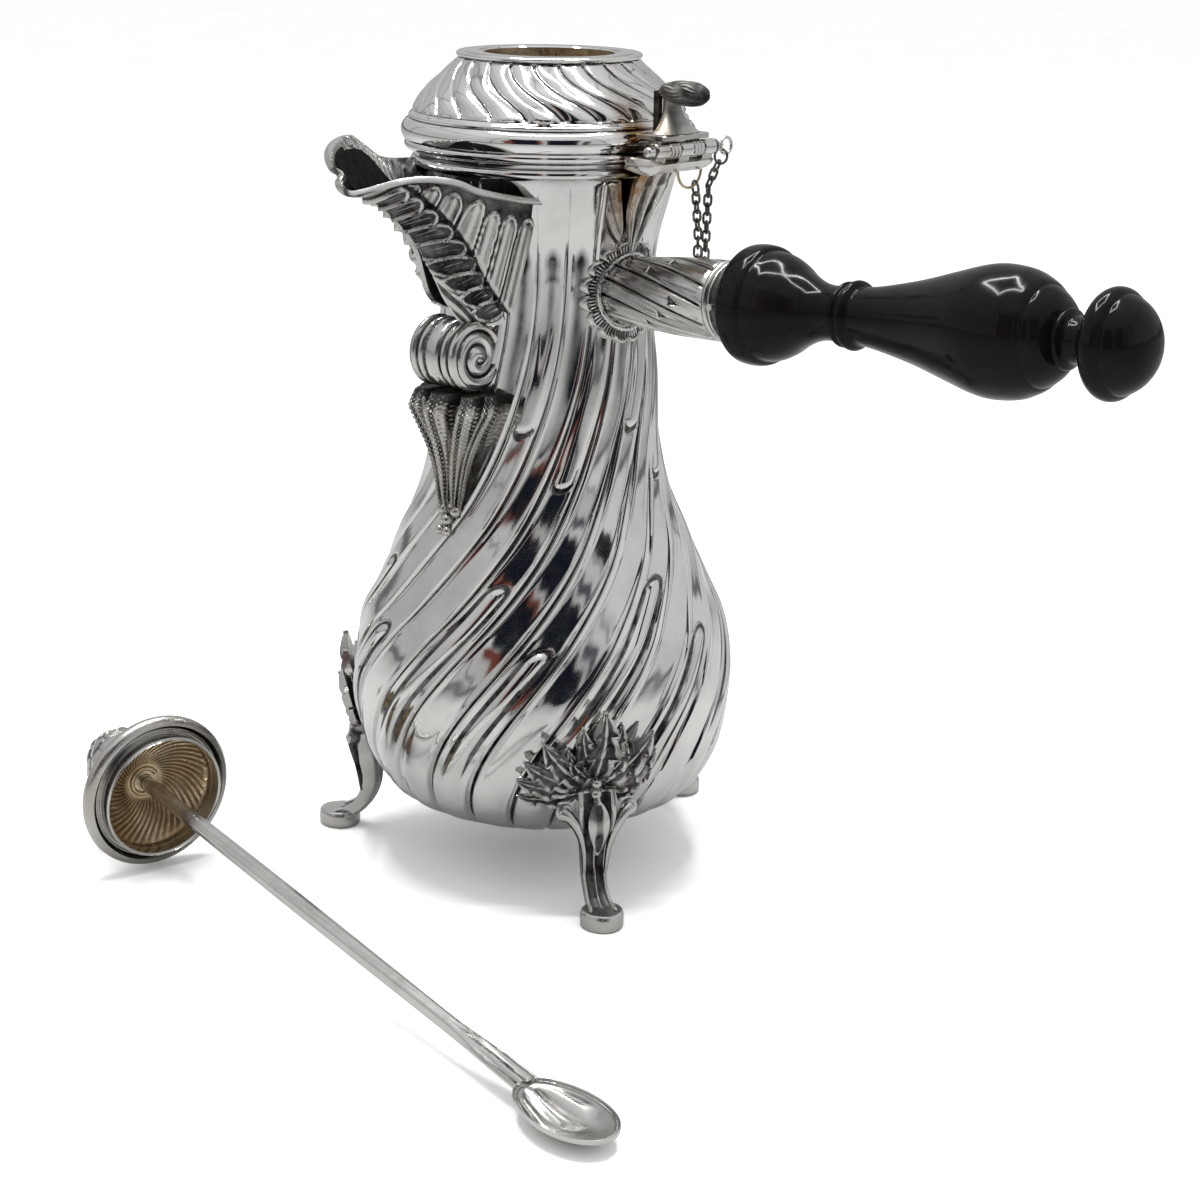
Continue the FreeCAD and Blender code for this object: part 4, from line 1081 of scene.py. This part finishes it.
def throat(sheet, outward, last):
    """A black sheet of painted shade, close inside the spout's wall up to the last column of each row."""
    columns = (np.linspace(0, 1, 70)[None, :] * last[:, None]).astype(int)[..., None]
    lining = [np.take_along_axis(sheet - outward * gap, columns, 1) * (1, -1, 1) for gap in (1.05, 1.4)]
    clay = Clay()
    clay.loft(np.concatenate([lining[0], lining[1][:, ::-1]], 1))
    clay.piece("Spout_throat", SHADE_LINING, "pot", "oxidised_silver", "spout", crease=50)


def scroll():
    """The roll under the spout: banded, beaded, and a spiral on each end."""
    low, high = corners("spout_scroll")
    half = (high[0] - low[0]) / 2
    radius = (high[2] - low[2]) / 2
    centre = (0, low[1] + radius, low[2] + radius)
    profile = [(1.0, 0.86), (0.93, 0.95), (0.80, 0.985), (0.68, 0.90), (0.62, 0.88), (0.54, 0.96),
               (0.44, 0.97), (0.36, 0.89), (0.30, 0.87), (0.20, 0.97), (0.0, 1.0)]
    profile = [(-x, r) for x, r in profile] + profile[-2::-1]
    roll = evenly(smooth(np.array(profile) * (half, radius), 10), 120)
    angle = full_turn(160)[None, :]

    def along_x(out, reach):
        return around(reach, angle, out)[..., [2, 0, 1]]

    def end(hand):
        reach = np.linspace(0.4, roll[0, 1] - 0.05, 60)[:, None]
        phase = (reach / (radius * 0.86) * 2.3 - hand * angle / (2 * math.pi) + 0.3) % 1.0
        hold = ease((radius * 0.92 - reach) / 0.8)
        out = half - 0.9 + 1.2 * np.sin(math.pi * phase) ** 0.6 * hold + 1.1 * bump(reach, 1.5)
        sunk = 0.16 * (np.minimum(phase, 1 - phase) < 0.13) * hold * (reach > 1.2)
        return along_x(hand * out, reach), sunk

    x = roll[:, :1] / half
    beads = 0.30 * (np.cos(angle * 44) > 0.0) * bump(np.abs(x) - 0.33, 0.035)
    rough = 0.16 * np.cos(angle * 70 + x * 60) * bump(x + 0.82, 0.12)
    barrel = along_x(roll[:, :1], roll[:, 1:] + beads + rough)
    grooves = 0.22 * (bump(np.abs(x) - 0.65, 0.05) + bump(np.abs(x) - 0.33, 0.06)) + 0 * angle
    (left, left_shade), (right, right_shade) = end(-1), end(1)
    clay = Clay()
    clay.loft(np.concatenate([left, barrel, right[::-1]]) + centre,
              shade=np.concatenate([left_shade, grooves, right_shade[::-1]]))
    clay.piece("Spout_scroll", WORN, "pot", "chased_silver", "spout_scroll", crease=60)


def lobe(clay, top_edge, wide, centre, start_width, drop):
    """One dotted, corded lobe of the drop leaf; drop sinks it towards the neck."""
    bend_radius = 30.0
    v = np.linspace(0, 1, 190)[:, None]
    u = np.linspace(-1, 1, 61)[None, :]
    height = top_edge - 30.5 * v
    neck = pear_radius(height)
    spread = wide * np.interp(v, [0, 0.15, 0.4, 0.7, 1], [0.98, 1.0, 0.78, 0.48, 0.22])
    sway = np.sin(2 * math.pi * v ** 0.8)
    aside = centre * spread * (1 - 0.30 * np.sin(math.pi * v) + 0.10 * sway)
    half = start_width * spread * (0.62 + 0.30 * np.sin(math.pi * np.clip(v + 0.12, 0, 1)) + 0.14 * sway)
    reach = np.interp(v, [0, 0.13, 0.38, 0.6, 0.85, 1], [37.6, 39.8, 37.4, 36.0, 34.6, 33.0])
    dome = np.sqrt(np.clip(1 - u ** 2, 0, 1))
    cord = u * 11 + 1.6 * sway
    beads = np.clip(np.cos(v * 180) * -np.cos(cord * 2), 0, 1)
    lift = ((reach - neck) * (1 - drop) + 0.26 * np.cos(cord) + 0.38 * beads) * dome
    turn = (aside + u * half) / bend_radius - math.pi / 2
    top = around(neck + np.maximum(lift, 0.15), turn, height)
    under = around(neck - 0.5, turn, height)
    # painted shade between the cords and beads and along the sides, darker at the top edge and underneath
    shade = 0.10 * (np.cos(cord) < -0.3) + 0.12 * ease((np.abs(u) - 0.75) / 0.2) + 0.05 * (beads < 0.2)
    shade = shade + 0.2 * ease((0.10 - v) / 0.06) - 0.06
    clay.loft(np.concatenate([top, under[:, ::-1]], 1), shade=np.concatenate([shade, shade + 0.2], 1))


def drop_leaf():
    """The leaf under the scroll: five lobes, a curl on each side, and a cluster of berries at its tip."""
    high = corners("spout_leaf")[1]
    top_edge, wide = high[2] - 0.2, high[0]
    clay = Clay()
    for centre, start_width, drop in ((0.0, 0.50, 0.0), (-0.75, 0.36, 0.12), (0.75, 0.36, 0.12),
                                      (-1.14, 0.28, 0.45), (1.14, 0.28, 0.45)):
        lobe(clay, top_edge, wide, centre, start_width, drop)
    k = np.linspace(0, 0.85, 44)
    size = 3.1 * (1 - k)
    for hand in (-1, 1):
        curl = np.stack([hand * (wide * 0.80 + size * 0.7 * np.cos(k * 11)), -34.4 - 1.6 * k,
                         top_edge - 4.6 + size * np.sin(k * 11)], 1)
        sweep(clay, curl, circle(0.8, 10), (0, -1.0, 0))
    for x, z, size in ((0, 92.0, 1.6), (-2.1, 94.2, 1.5), (2.1, 94.2, 1.5), (0, 95.8, 1.6), (-1.2, 89.6, 1.2),
                       (1.2, 89.6, 1.2)):
        ball(clay, (x, -(pear_radius(z) + 1.4), z), (size, size, size))
    clay.piece("Spout_leaf", STAINED, "pot", "chased_silver", "spout_leaf")


# ---------------------------------------------------------------- hinge and thumbpiece

HINGE_X, HINGE_Z = 42.5, corners("lid_hinge_leaf")[1][2] - 3.4


def on_hinge(outline, steps=40, relief=None):
    """Rings of a shape turned about the hinge's axis, which runs along Y."""
    return turned(outline, steps, Place((HINGE_X, 0, HINGE_Z), (0, 1, 0)), relief)


def web(clay, at_axis, at_plate, plate_z, start, end, shade):
    """What joins a knuckle to its plate: its two edges at the axis and at the plate, from start to end."""
    section = ((at_axis[0], HINGE_Z), (at_plate[0], plate_z), (at_plate[1], plate_z), (at_axis[1], HINGE_Z))
    clay.loft([[(HINGE_X + x, y, z) for x, z in section] for y in (start, end)], shade=shade)


def bracket():
    """The bracket on the neck ring, its three knuckles, and the tongue down the neck."""
    low = corners("hinge_bracket")[0]
    clay = Clay()
    side = np.array([(34.6, 176.6), (38.0, 175.9), (41.0, 175.7), (43.0, 176.8), (43.5, 178.0), (42.2, 178.9),
                     (38.0, 179.1), (34.6, 179.1)])
    heart = side.mean(0)
    rings = []
    for y, size in ((-11.4, 0.1), (-10.9, 0.75), (-10.2, 1.12), (-8.0, 1.12), (-7.2, 1.0), (8.2, 1.0),
                    (9.4, 0.9), (12.2, 0.45), (13.4, 0.1)):
        section = heart + (side - heart) * size
        rings.append([(x, max(y, low[1] - 0.9), z) for x, z in section])
    clay.loft(rings)
    for start in (-10.0, -2.0, 6.0):
        barrel = [(0.3, start + 0.04), (1.65, start + 0.04), (1.8, start + 0.2), (1.8, start + 3.8),
                  (1.65, start + 3.96), (0.3, start + 3.96)]
        # painted shade on the knuckles and, darker, on their webs
        clay.loft(on_hinge(barrel), shade=0.04)
        web(clay, (-1.1, 0.6), (-1.2, 0.4), 178.4, start + 0.3, start + 3.7, 0.2)
    t = np.linspace(0, 1, 30)
    heights = 177.0 - 21.5 * t
    reach = pear_radius(np.minimum(heights, 172)) + np.interp(t, [0, 0.2, 0.5, 1], [5.4, 2.6, 0.9, 0.2])
    spine = np.stack([reach, 0 * t, heights], 1)
    leaf(clay, spine, (1.0, 0, 0.1), 6.4, thick=0.8, cup=0.10, vein=0.32, ribs=3, across=33, pointed=0.45)
    clay.piece("Hinge_bracket", WORN, "pot", "polished_silver", "hinge_bracket", crease=30)


def lid_leaf():
    """The plate on the lid, and its two knuckles, each of three ribbed beads."""
    def beading(angle, radius, height):
        return 0.05 * np.cos(20 * angle) * (radius > 1.66)

    clay = Clay()
    plate = []
    for z, shrink in ((183.15, 0.25), (183.3, 0.0), (184.2, 0.0), (184.4, 0.3)):
        outline = [(35.2, -7.9 + shrink), (43.3, -7.9 + shrink), (44.1 - shrink, -7.0), (44.1 - shrink, 7.0),
                   (43.3, 7.9 - shrink), (35.2, 7.9 - shrink)]
        plate.append([(x, y, z) for x, y in outline])
    clay.loft(plate)
    for start in (-6.0, 2.0):
        beads = [bow((1.68, start + at), (1.68, start + at + 1.1), -0.2, 5) for at in (0.25, 1.45, 2.65)]
        barrel = join([(0.3, start + 0.04), (1.55, start + 0.04), (1.62, start + 0.2)], *beads,
                      [(1.62, start + 3.9), (0.3, start + 3.96)])
        # painted shade on the knuckles and, darker, on their webs
        clay.loft(on_hinge(barrel, 48, beading), shade=0.03)
        web(clay, (-1.4, 0.1), (-1.6, -0.1), 183.5, start + 0.4, start + 3.6, 0.15)
    clay.piece("Lid_hinge_leaf", WORN, "lid", "polished_silver", "lid_hinge_leaf", crease=30)


def pin():
    """The hinge pin and the eye that its chain hangs from."""
    shank = join([(0.2, -12.4), (0.8, -12.4)], bow((0.95, -12.3), (1.15, -11.9), -0.06, 4), [(1.15, 10.2)],
                 bow((1.5, 10.3), (1.3, 11.4), -0.2, 5), [(0.95, 12.2), (0.7, 13.3), (0.2, 13.4)])
    clay = Clay()
    clay.loft(on_hinge(shank))
    turn = np.linspace(0, 2 * math.pi, 41)
    eye = np.stack([HINGE_X + 0 * turn, 15.0 + 1.9 * np.cos(turn), HINGE_Z - 0.3 + 1.9 * np.sin(turn)], 1)
    sweep(clay, eye, circle(0.36, 10), (1.0, 0, 0))
    clay.piece("Hinge_pin", WORN, "hinge_pin", "oxidised_silver", "hinge_pin", crease=40)


def thumbpiece():
    """A thick thumb rest on a stem whose foot spreads over the hinge plate."""
    low, high = corners("thumbpiece")
    base = low[2] + 0.05
    stem = [(36.6, 44.0, 7.0, 0.0), (36.9, 43.3, 5.6, 0.9), (37.2, 41.9, 3.9, 2.6), (37.2, 40.9, 2.6, 4.8),
            (37.0, 41.0, 2.3, 6.8), (37.0, 42.6, 2.9, 8.6), (37.4, 44.4, 3.4, 9.6)]
    first, last, half, rise = evenly(smooth(stem), 40).T[..., None]
    angle = full_turn(28)[None, :]
    clay = Clay()
    clay.loft(np.stack(np.broadcast_arrays((first + last) / 2 + (last - first) / 2 * np.cos(angle),
                                           half * np.sin(angle), base + rise), -1), shade=0.2)
    # a thin closed plate in the stem's side, black with the painted shadow of the gap between lid and stem
    clay.loft([[(36.3, -3.4, z), (37.7, -3.2, z), (37.7, -2.0, z), (36.3, -2.2, z)]
               for z in (base + 0.1, base + 9.2)], shade=8.0)
    tilt = np.linspace(0.05, math.pi - 0.05, 60)[:, None]
    angle = full_turn(96)[None, :]
    streak = np.cos(angle * 21 + 1.5 * np.sin(tilt * 7)) * np.sin(tilt * 3.1 + angle * 2) ** 2
    size = 1 + 0.02 * np.cos(angle * 6 + tilt * 5) * np.sin(tilt) + 0.016 * streak
    x = 6.1 * np.cos(tilt) * size
    y = 4.6 * np.sin(tilt) ** 0.8 * np.cos(angle) * size
    z = 2.75 * np.sin(tilt) ** 0.7 * np.sin(angle) * size - 0.25 * (x / 6)
    x = np.where(x > 0, x, x * 1.05)
    z = z * (1 + 0.02 * x) + min(high[2], 196.6) - 2.9
    clay.loft(np.stack([x + HINGE_X + 0.1, y, z], -1), shade=0.24 + 0.16 * streak)
    clay.piece("Thumbpiece", BRUSHED, "lid", "chased_silver", "thumbpiece", crease=50)


# ---------------------------------------------------------------- stirrer

def stirrer_place():
    """The stirrer's own frame: Z along its rod towards the bowl, Y upwards, origin at the cap's face."""
    along = unit(middle("stirrer_rod") - middle("stirrer_rim"))
    return Place(middle("stirrer_rim") + 2.0 * along, along)


def stirrer():
    """The stirrer that lies on the table, from its cap to its bowl."""
    place = stirrer_place()
    rim = join([(15.85, -1.9), (16.3, -1.9)], bow((16.4, -1.8), (17.0, -1.8), 0.3),
               [(17.2, -2.2), (17.7, -1.6)], bow((17.8, -0.7), (19.4, -3.9), 1.1, 14),
               [(18.5, -4.4), (15.85, -4.4)])
    ring_piece("Stirrer_rim", rim, STAINED, "stirrer", "polished_silver", "stirrer_rim", 160, place)
    collar = join([(15.0, -4.4), (15.8, -4.4), (15.8, 1.7)], bow((15.8, 1.8), (15.0, 1.8), 0.4, 6))
    ring_piece("Stirrer_collar", collar, WORN, "stirrer", "polished_silver", "stirrer_collar", 128, place)
    cap(place)
    knob(place)
    rod(place)
    spoon(place)


def cap(place):
    """The cap's dome, gilt inside, with curved flutes that radiate from the rod."""
    outer = smooth([(18.4, -4.45), (13.0, -7.2), (8.0, -8.9), (5.3, -11.5), (2.0, -11.55)])
    inner = smooth([(2.0, -9.2), (5.2, -8.8), (8.8, -7.3), (12.6, -5.4), (15.0, -3.0), (15.0, -1.2),
                    (17.0, -4.45)])
    flutes, steps, outer_rows = 44, 480, 40
    angle = full_turn(steps)[None, :]
    rings = []
    for line, depth in ((evenly(outer, outer_rows), 0.25), (evenly(inner, 84), -0.46)):
        radius, height = line[:, :1], line[:, 1:]
        phase = flutes * (angle + 0.075 * (radius - 5)) / (2 * math.pi) % 1.0
        fade = ease((radius - 4.2) / 2) * ease((14.9 - radius) / 1.0)
        ripple = depth * (np.abs(np.sin(math.pi * phase)) ** 0.55 - 0.6) * fade
        rings.append(around(radius, angle, height + ripple))
    clay = Clay()
    clay.loft(place.put(np.concatenate(rings)), along=True)
    washer = around(3.4, np.linspace(0.5, 5.6, 40), -8.6)
    sweep(clay, place.put(washer), circle(0.62, 10), place.axes[2])
    dome = clay.piece("Stirrer_cap", GILT, "stirrer", "gilt_interior", "stirrer_cap")
    second_finish(dome, WORN, lambda face: face.index < (outer_rows - 1) * steps)


def knob(place):
    """A bud of overlapping scales."""
    line = evenly(smooth([(0.4, -11.6), (4.6, -11.7), (4.6, -13.0), (7.6, -14.6), (9.4, -18.0), (9.0, -22.0),
                          (7.0, -26.2), (3.6, -29.2), (0.4, -29.9)]), 110)
    angle = full_turn(144)[None, :]
    radius, height = line[:, :1], line[:, 1:]
    row, reach = np.divmod((-14.0 - height) / 3.1, 1.0)
    phase = (angle * 9 / (2 * math.pi) + 0.5 * (row % 2)) % 1.0
    scale = (1 - np.abs(2 * phase - 1) ** 2) * np.sqrt(np.clip(1 - reach, 0, 1))
    fade = ease((-14.5 - height) / 1.5) * ease(radius / 3)
    clay = Clay()
    clay.loft(place.put(around(radius - 0.1 + 0.55 * (scale - 0.5) * fade, angle, height)))
    clay.piece("Stirrer_knob", CHASED, "stirrer", "chased_silver", "stirrer_knob")


def rod(place):
    """The stirrer's rod: a faint twist of six ridges, then a ridged flare into the bowl's neck."""
    end = 154.4
    reach = np.linspace(-9.0, end, 240)[:, None]
    angle = full_turn(64)[None, :]
    flare = ease((reach - 124) / 30)
    radius = 0.95 * np.interp(reach, [-9, 0, 60, 135, end], [1.95, 2.0, 2.15, 2.0, 1.9])
    radius = radius + 0.10 * np.cos(6 * angle + reach * 0.035) * ease((reach - 5) / 20) * (1 - flare)
    share = np.abs(np.cos(angle))
    ribs = 0.55 * bump(share - 0.42, 0.13) + 0.45 * bump(share - 0.9, 0.10) - 0.25 * bump(share, 0.12)
    rings = around(radius, angle, reach)
    rings[..., 0] *= 1 + 0.75 * flare
    rings[..., 1] *= 1 - 0.45 * flare
    rings[..., 1] += ribs * flare * (np.sin(angle) > 0) + 0.25 * flare
    clay = Clay()
    clay.loft(place.put(rings))
    clay.piece("Stirrer_rod", WORN, "stirrer", "polished_silver", "stirrer_rod")


def spoon(place):
    """An egg-shaped bowl with a raised double rim and short flutes from its neck."""
    half_length, half_width, depth, wall = 14.3, 8.3, 3.5, 0.85
    centre, lift, crank = 167.0, 1.6, math.radians(4.0)
    angle = full_turn(120)[None, :]
    share = np.concatenate([np.linspace(0.02, 0.86, 26), np.linspace(0.875, 1.0, 12)])[:, None]
    x = half_width * share * np.sin(angle) * (1 + 0.10 * np.cos(angle))
    z = half_length * share * np.cos(angle)
    fan = x / (half_width * (0.95 + 0.4 * z / half_length))
    near = ease((0.30 - z / half_length) / 0.5) * ease((0.88 - share) / 0.12)
    flutes = 0.42 * np.cos(3 * math.pi * fan) * near
    double = 0.32 * (bump(share - 0.985, 0.014) + 0.8 * bump(share - 0.935, 0.014))
    hollow = 1 - share ** 2.4
    inside = np.stack([x, flutes + double - (depth - 0.2) * hollow, z], -1)
    outside = np.stack([x, -depth * hollow - wall + 0 * x, z], -1)
    rings = np.concatenate([inside, outside[::-1]])
    tip = Place((0, lift, centre), (0, math.sin(crank), math.cos(crank)), (0, 1, 0))
    clay = Clay()
    clay.loft(place.put(tip.put(rings)))
    clay.piece("Stirrer_spoon", WORN, "stirrer", "polished_silver", "stirrer_spoon")


# ---------------------------------------------------------------- scene

CARRIED = {"handle_rivet": WORN, "lid_bezel": POLISHED, "chain_bail": GILT,
           "chain_pin_strand": OXIDISED, "chain_bail_strand": OXIDISED, "stirrer_nut": GILT}


def carry_over():
    """Gives their finish to the CAD nodes that keep their own shape."""
    for node, material in CARRIED.items():
        for entry in frame["nodes"][node].material_slots:
            entry.material = material


FRONT = unit((0.697, -0.717, 0))
RIGHT = unit((0.717, 0.697, 0))


def facing(tree, place, direction):
    """How nearly a ray points in one direction."""
    dot = tree.nodes.new("ShaderNodeVectorMath")
    dot.operation = "DOT_PRODUCT"
    link(tree, place, "Generated", dot, 0)
    dot.inputs[1].default_value = [float(value) for value in direction]
    return dot


def between(tree, source, low, high, soft):
    """1 where low < value < high, fading over soft outside it."""
    rising = span(tree, source, "Value", low - soft, low)
    falling = span(tree, source, "Value", high, high + soft, 1.0, 0.0)
    return sums(tree, "MULTIPLY", (rising, "Result"), (falling, "Result"))


def world():
    """A square white tent: a bright roof, greyer walls, dark seams, and a tall slit towards the room."""
    sky = bpy.data.worlds.new("tent")
    bpy.context.scene.world = sky
    sky.use_nodes = True
    tree = sky.node_tree
    place = tree.nodes.new("ShaderNodeTexCoord")
    ahead, aside, up = (facing(tree, place, way) for way in (FRONT, RIGHT, (0, 0, 1)))
    roof = span(tree, up, "Value", 0.35, 0.95)
    cloth = blend_colour(tree, (roof, "Result"), (0.50, 0.50, 0.495), (0.80, 0.80, 0.80))
    right_wall = between(tree, aside, 0.72, 1.1, 0.05)
    cloth = blend_colour(tree, (right_wall, "Value"), (cloth, 2), (0.66, 0.66, 0.66))
    skirting = between(tree, up, -0.3, 0.03, 0.03)
    cloth = blend_colour(tree, (skirting, "Value"), (cloth, 2), (0.16, 0.16, 0.165))
    size_ahead, size_aside = (sums(tree, "ABSOLUTE", (way, "Value"), 0.0) for way in (ahead, aside))
    corner = sums(tree, "SUBTRACT", (size_ahead, "Value"), (size_aside, "Value"))
    eaves = sums(tree, "MAXIMUM", (size_ahead, "Value"), (size_aside, "Value"))
    eaves = sums(tree, "SUBTRACT", (up, "Value"), (eaves, "Value"))
    for seam, half in ((corner, 0.012), (eaves, 0.010)):
        line = between(tree, seam, -half, half, 0.008)
        cloth = blend_colour(tree, (line, "Value"), (cloth, 2), (0.10, 0.10, 0.105))
    forward = span(tree, ahead, "Value", 0.1, 0.2)
    # the dark room beyond the slit, a red strip at its edge, a pale and a red upright in it, and a grey
    # upright past it
    for low, high, bottom, top, colour in ((-0.46, 0.36, -0.3, 0.62, (0.006, 0.008, 0.014)),
                                           (-0.55, -0.46, 0.05, 0.42, (0.16, 0.045, 0.03)),
                                           (-0.09, -0.03, 0.0, 0.62, (0.45, 0.45, 0.45)),
                                           (-0.13, -0.09, 0.1, 0.5, (0.14, 0.05, 0.035)),
                                           (0.44, 0.50, 0.02, 0.5, (0.07, 0.075, 0.09))):
        slit = between(tree, aside, low, high, 0.025)
        tall = between(tree, up, bottom, top, 0.06)
        slit = sums(tree, "MULTIPLY", (slit, "Value"), (tall, "Value"))
        slit = sums(tree, "MULTIPLY", (slit, "Value"), (forward, "Result"))
        cloth = blend_colour(tree, (slit, "Value"), (cloth, 2), colour)
    path = tree.nodes.new("ShaderNodeLightPath")
    light = blend_colour(tree, (path, "Is Glossy Ray"), (1.08, 1.08, 1.08), (cloth, 2))
    link(tree, light, 2, tree.nodes["Background"], "Color")
    tree.nodes["Background"].inputs["Strength"].default_value = 1.0


def lamp(name, place, target, size, power):
    """A rectangular lamp that faces its target."""
    light = bpy.data.lights.new(name, "AREA")
    light.shape = "RECTANGLE"
    light.size, light.size_y = size
    light.energy = power
    thing = stand(name, light)
    away = unit(np.array(place, float) - np.array(target, float))
    side = unit(np.cross(away, RIGHT))
    axes = np.stack([RIGHT, side * -1.0, away], 1)
    thing.matrix_world = Matrix.Translation([float(v) for v in place]) @ Matrix(axes.tolist()).to_4x4()


def strip_lights():
    """Four strips round the roof of the tent."""
    height, half, width = 0.80, 0.19, 0.035
    for name, way, size in (("front", FRONT, (2 * half, width)), ("back", -FRONT, (2 * half, width)),
                            ("right", RIGHT, (width, 2 * half)), ("left", -RIGHT, (width, 2 * half))):
        spot = half * way - 0.06 * FRONT + (0, 0, height)
        lamp("Strip_" + name, spot, spot - (0, 0, 1.0), size, 2.0)


def table():
    """The white table top."""
    half = 4.0
    mesh = bpy.data.meshes.new("Table")
    edge = [(-half, -half, 0), (half, -half, 0), (half, half, 0), (-half, half, 0)]
    mesh.from_pydata(edge, [], [[0, 1, 2, 3]])
    mesh.materials.append(floor_paint())
    stand("Table", mesh)


def camera():
    """A camera at the height of the lid, out along the diagonal between handle and spout."""
    distance, height = 0.6106, 0.2465
    heading, down, roll = math.radians(1.326), math.radians(16.517), math.radians(0.9995)
    round_pot = math.radians(44.213)
    level = math.cos(down)
    ahead = np.array([math.sin(heading) * level, math.cos(heading) * level, -math.sin(down)])
    right = np.array([math.cos(heading), -math.sin(heading), 0.0])
    up = np.cross(right, ahead)
    tilted_right = math.cos(roll) * right + math.sin(roll) * up
    tilted_up = math.cos(roll) * up - math.sin(roll) * right
    turn = np.array([[math.cos(round_pot), -math.sin(round_pot), 0],
                     [math.sin(round_pot), math.cos(round_pot), 0], [0, 0, 1]])
    axes = turn @ np.stack([tilted_right, tilted_up, -ahead], 1)
    data = bpy.data.cameras.new("Camera")
    data.lens = 76.29
    data.sensor_width = 36.0
    thing = stand("Camera", data)
    place = turn @ np.array([0, -distance, height])
    thing.matrix_world = Matrix.Translation(place.tolist()) @ Matrix(axes.tolist()).to_4x4()
    bpy.context.scene.camera = thing


body()
ring_at_neck()
lid()
HANDLE = handle_place()
socket(HANDLE)
ferrule(HANDLE)
rosette(HANDLE)
grip(HANDLE)
for foot_name, foot_node, foot_turn in (("Foot_front", "foot_front", -30), ("Foot_rear", "foot_rear", 90),
                                        ("Foot_left", "foot_left", 210)):
    foot(foot_name, foot_node, foot_turn)
spout()
scroll()
drop_leaf()
bracket()
lid_leaf()
pin()
thumbpiece()
stirrer()
carry_over()
table()
world()
camera()
strip_lights()
bpy.context.scene.view_settings.view_transform = "Standard"
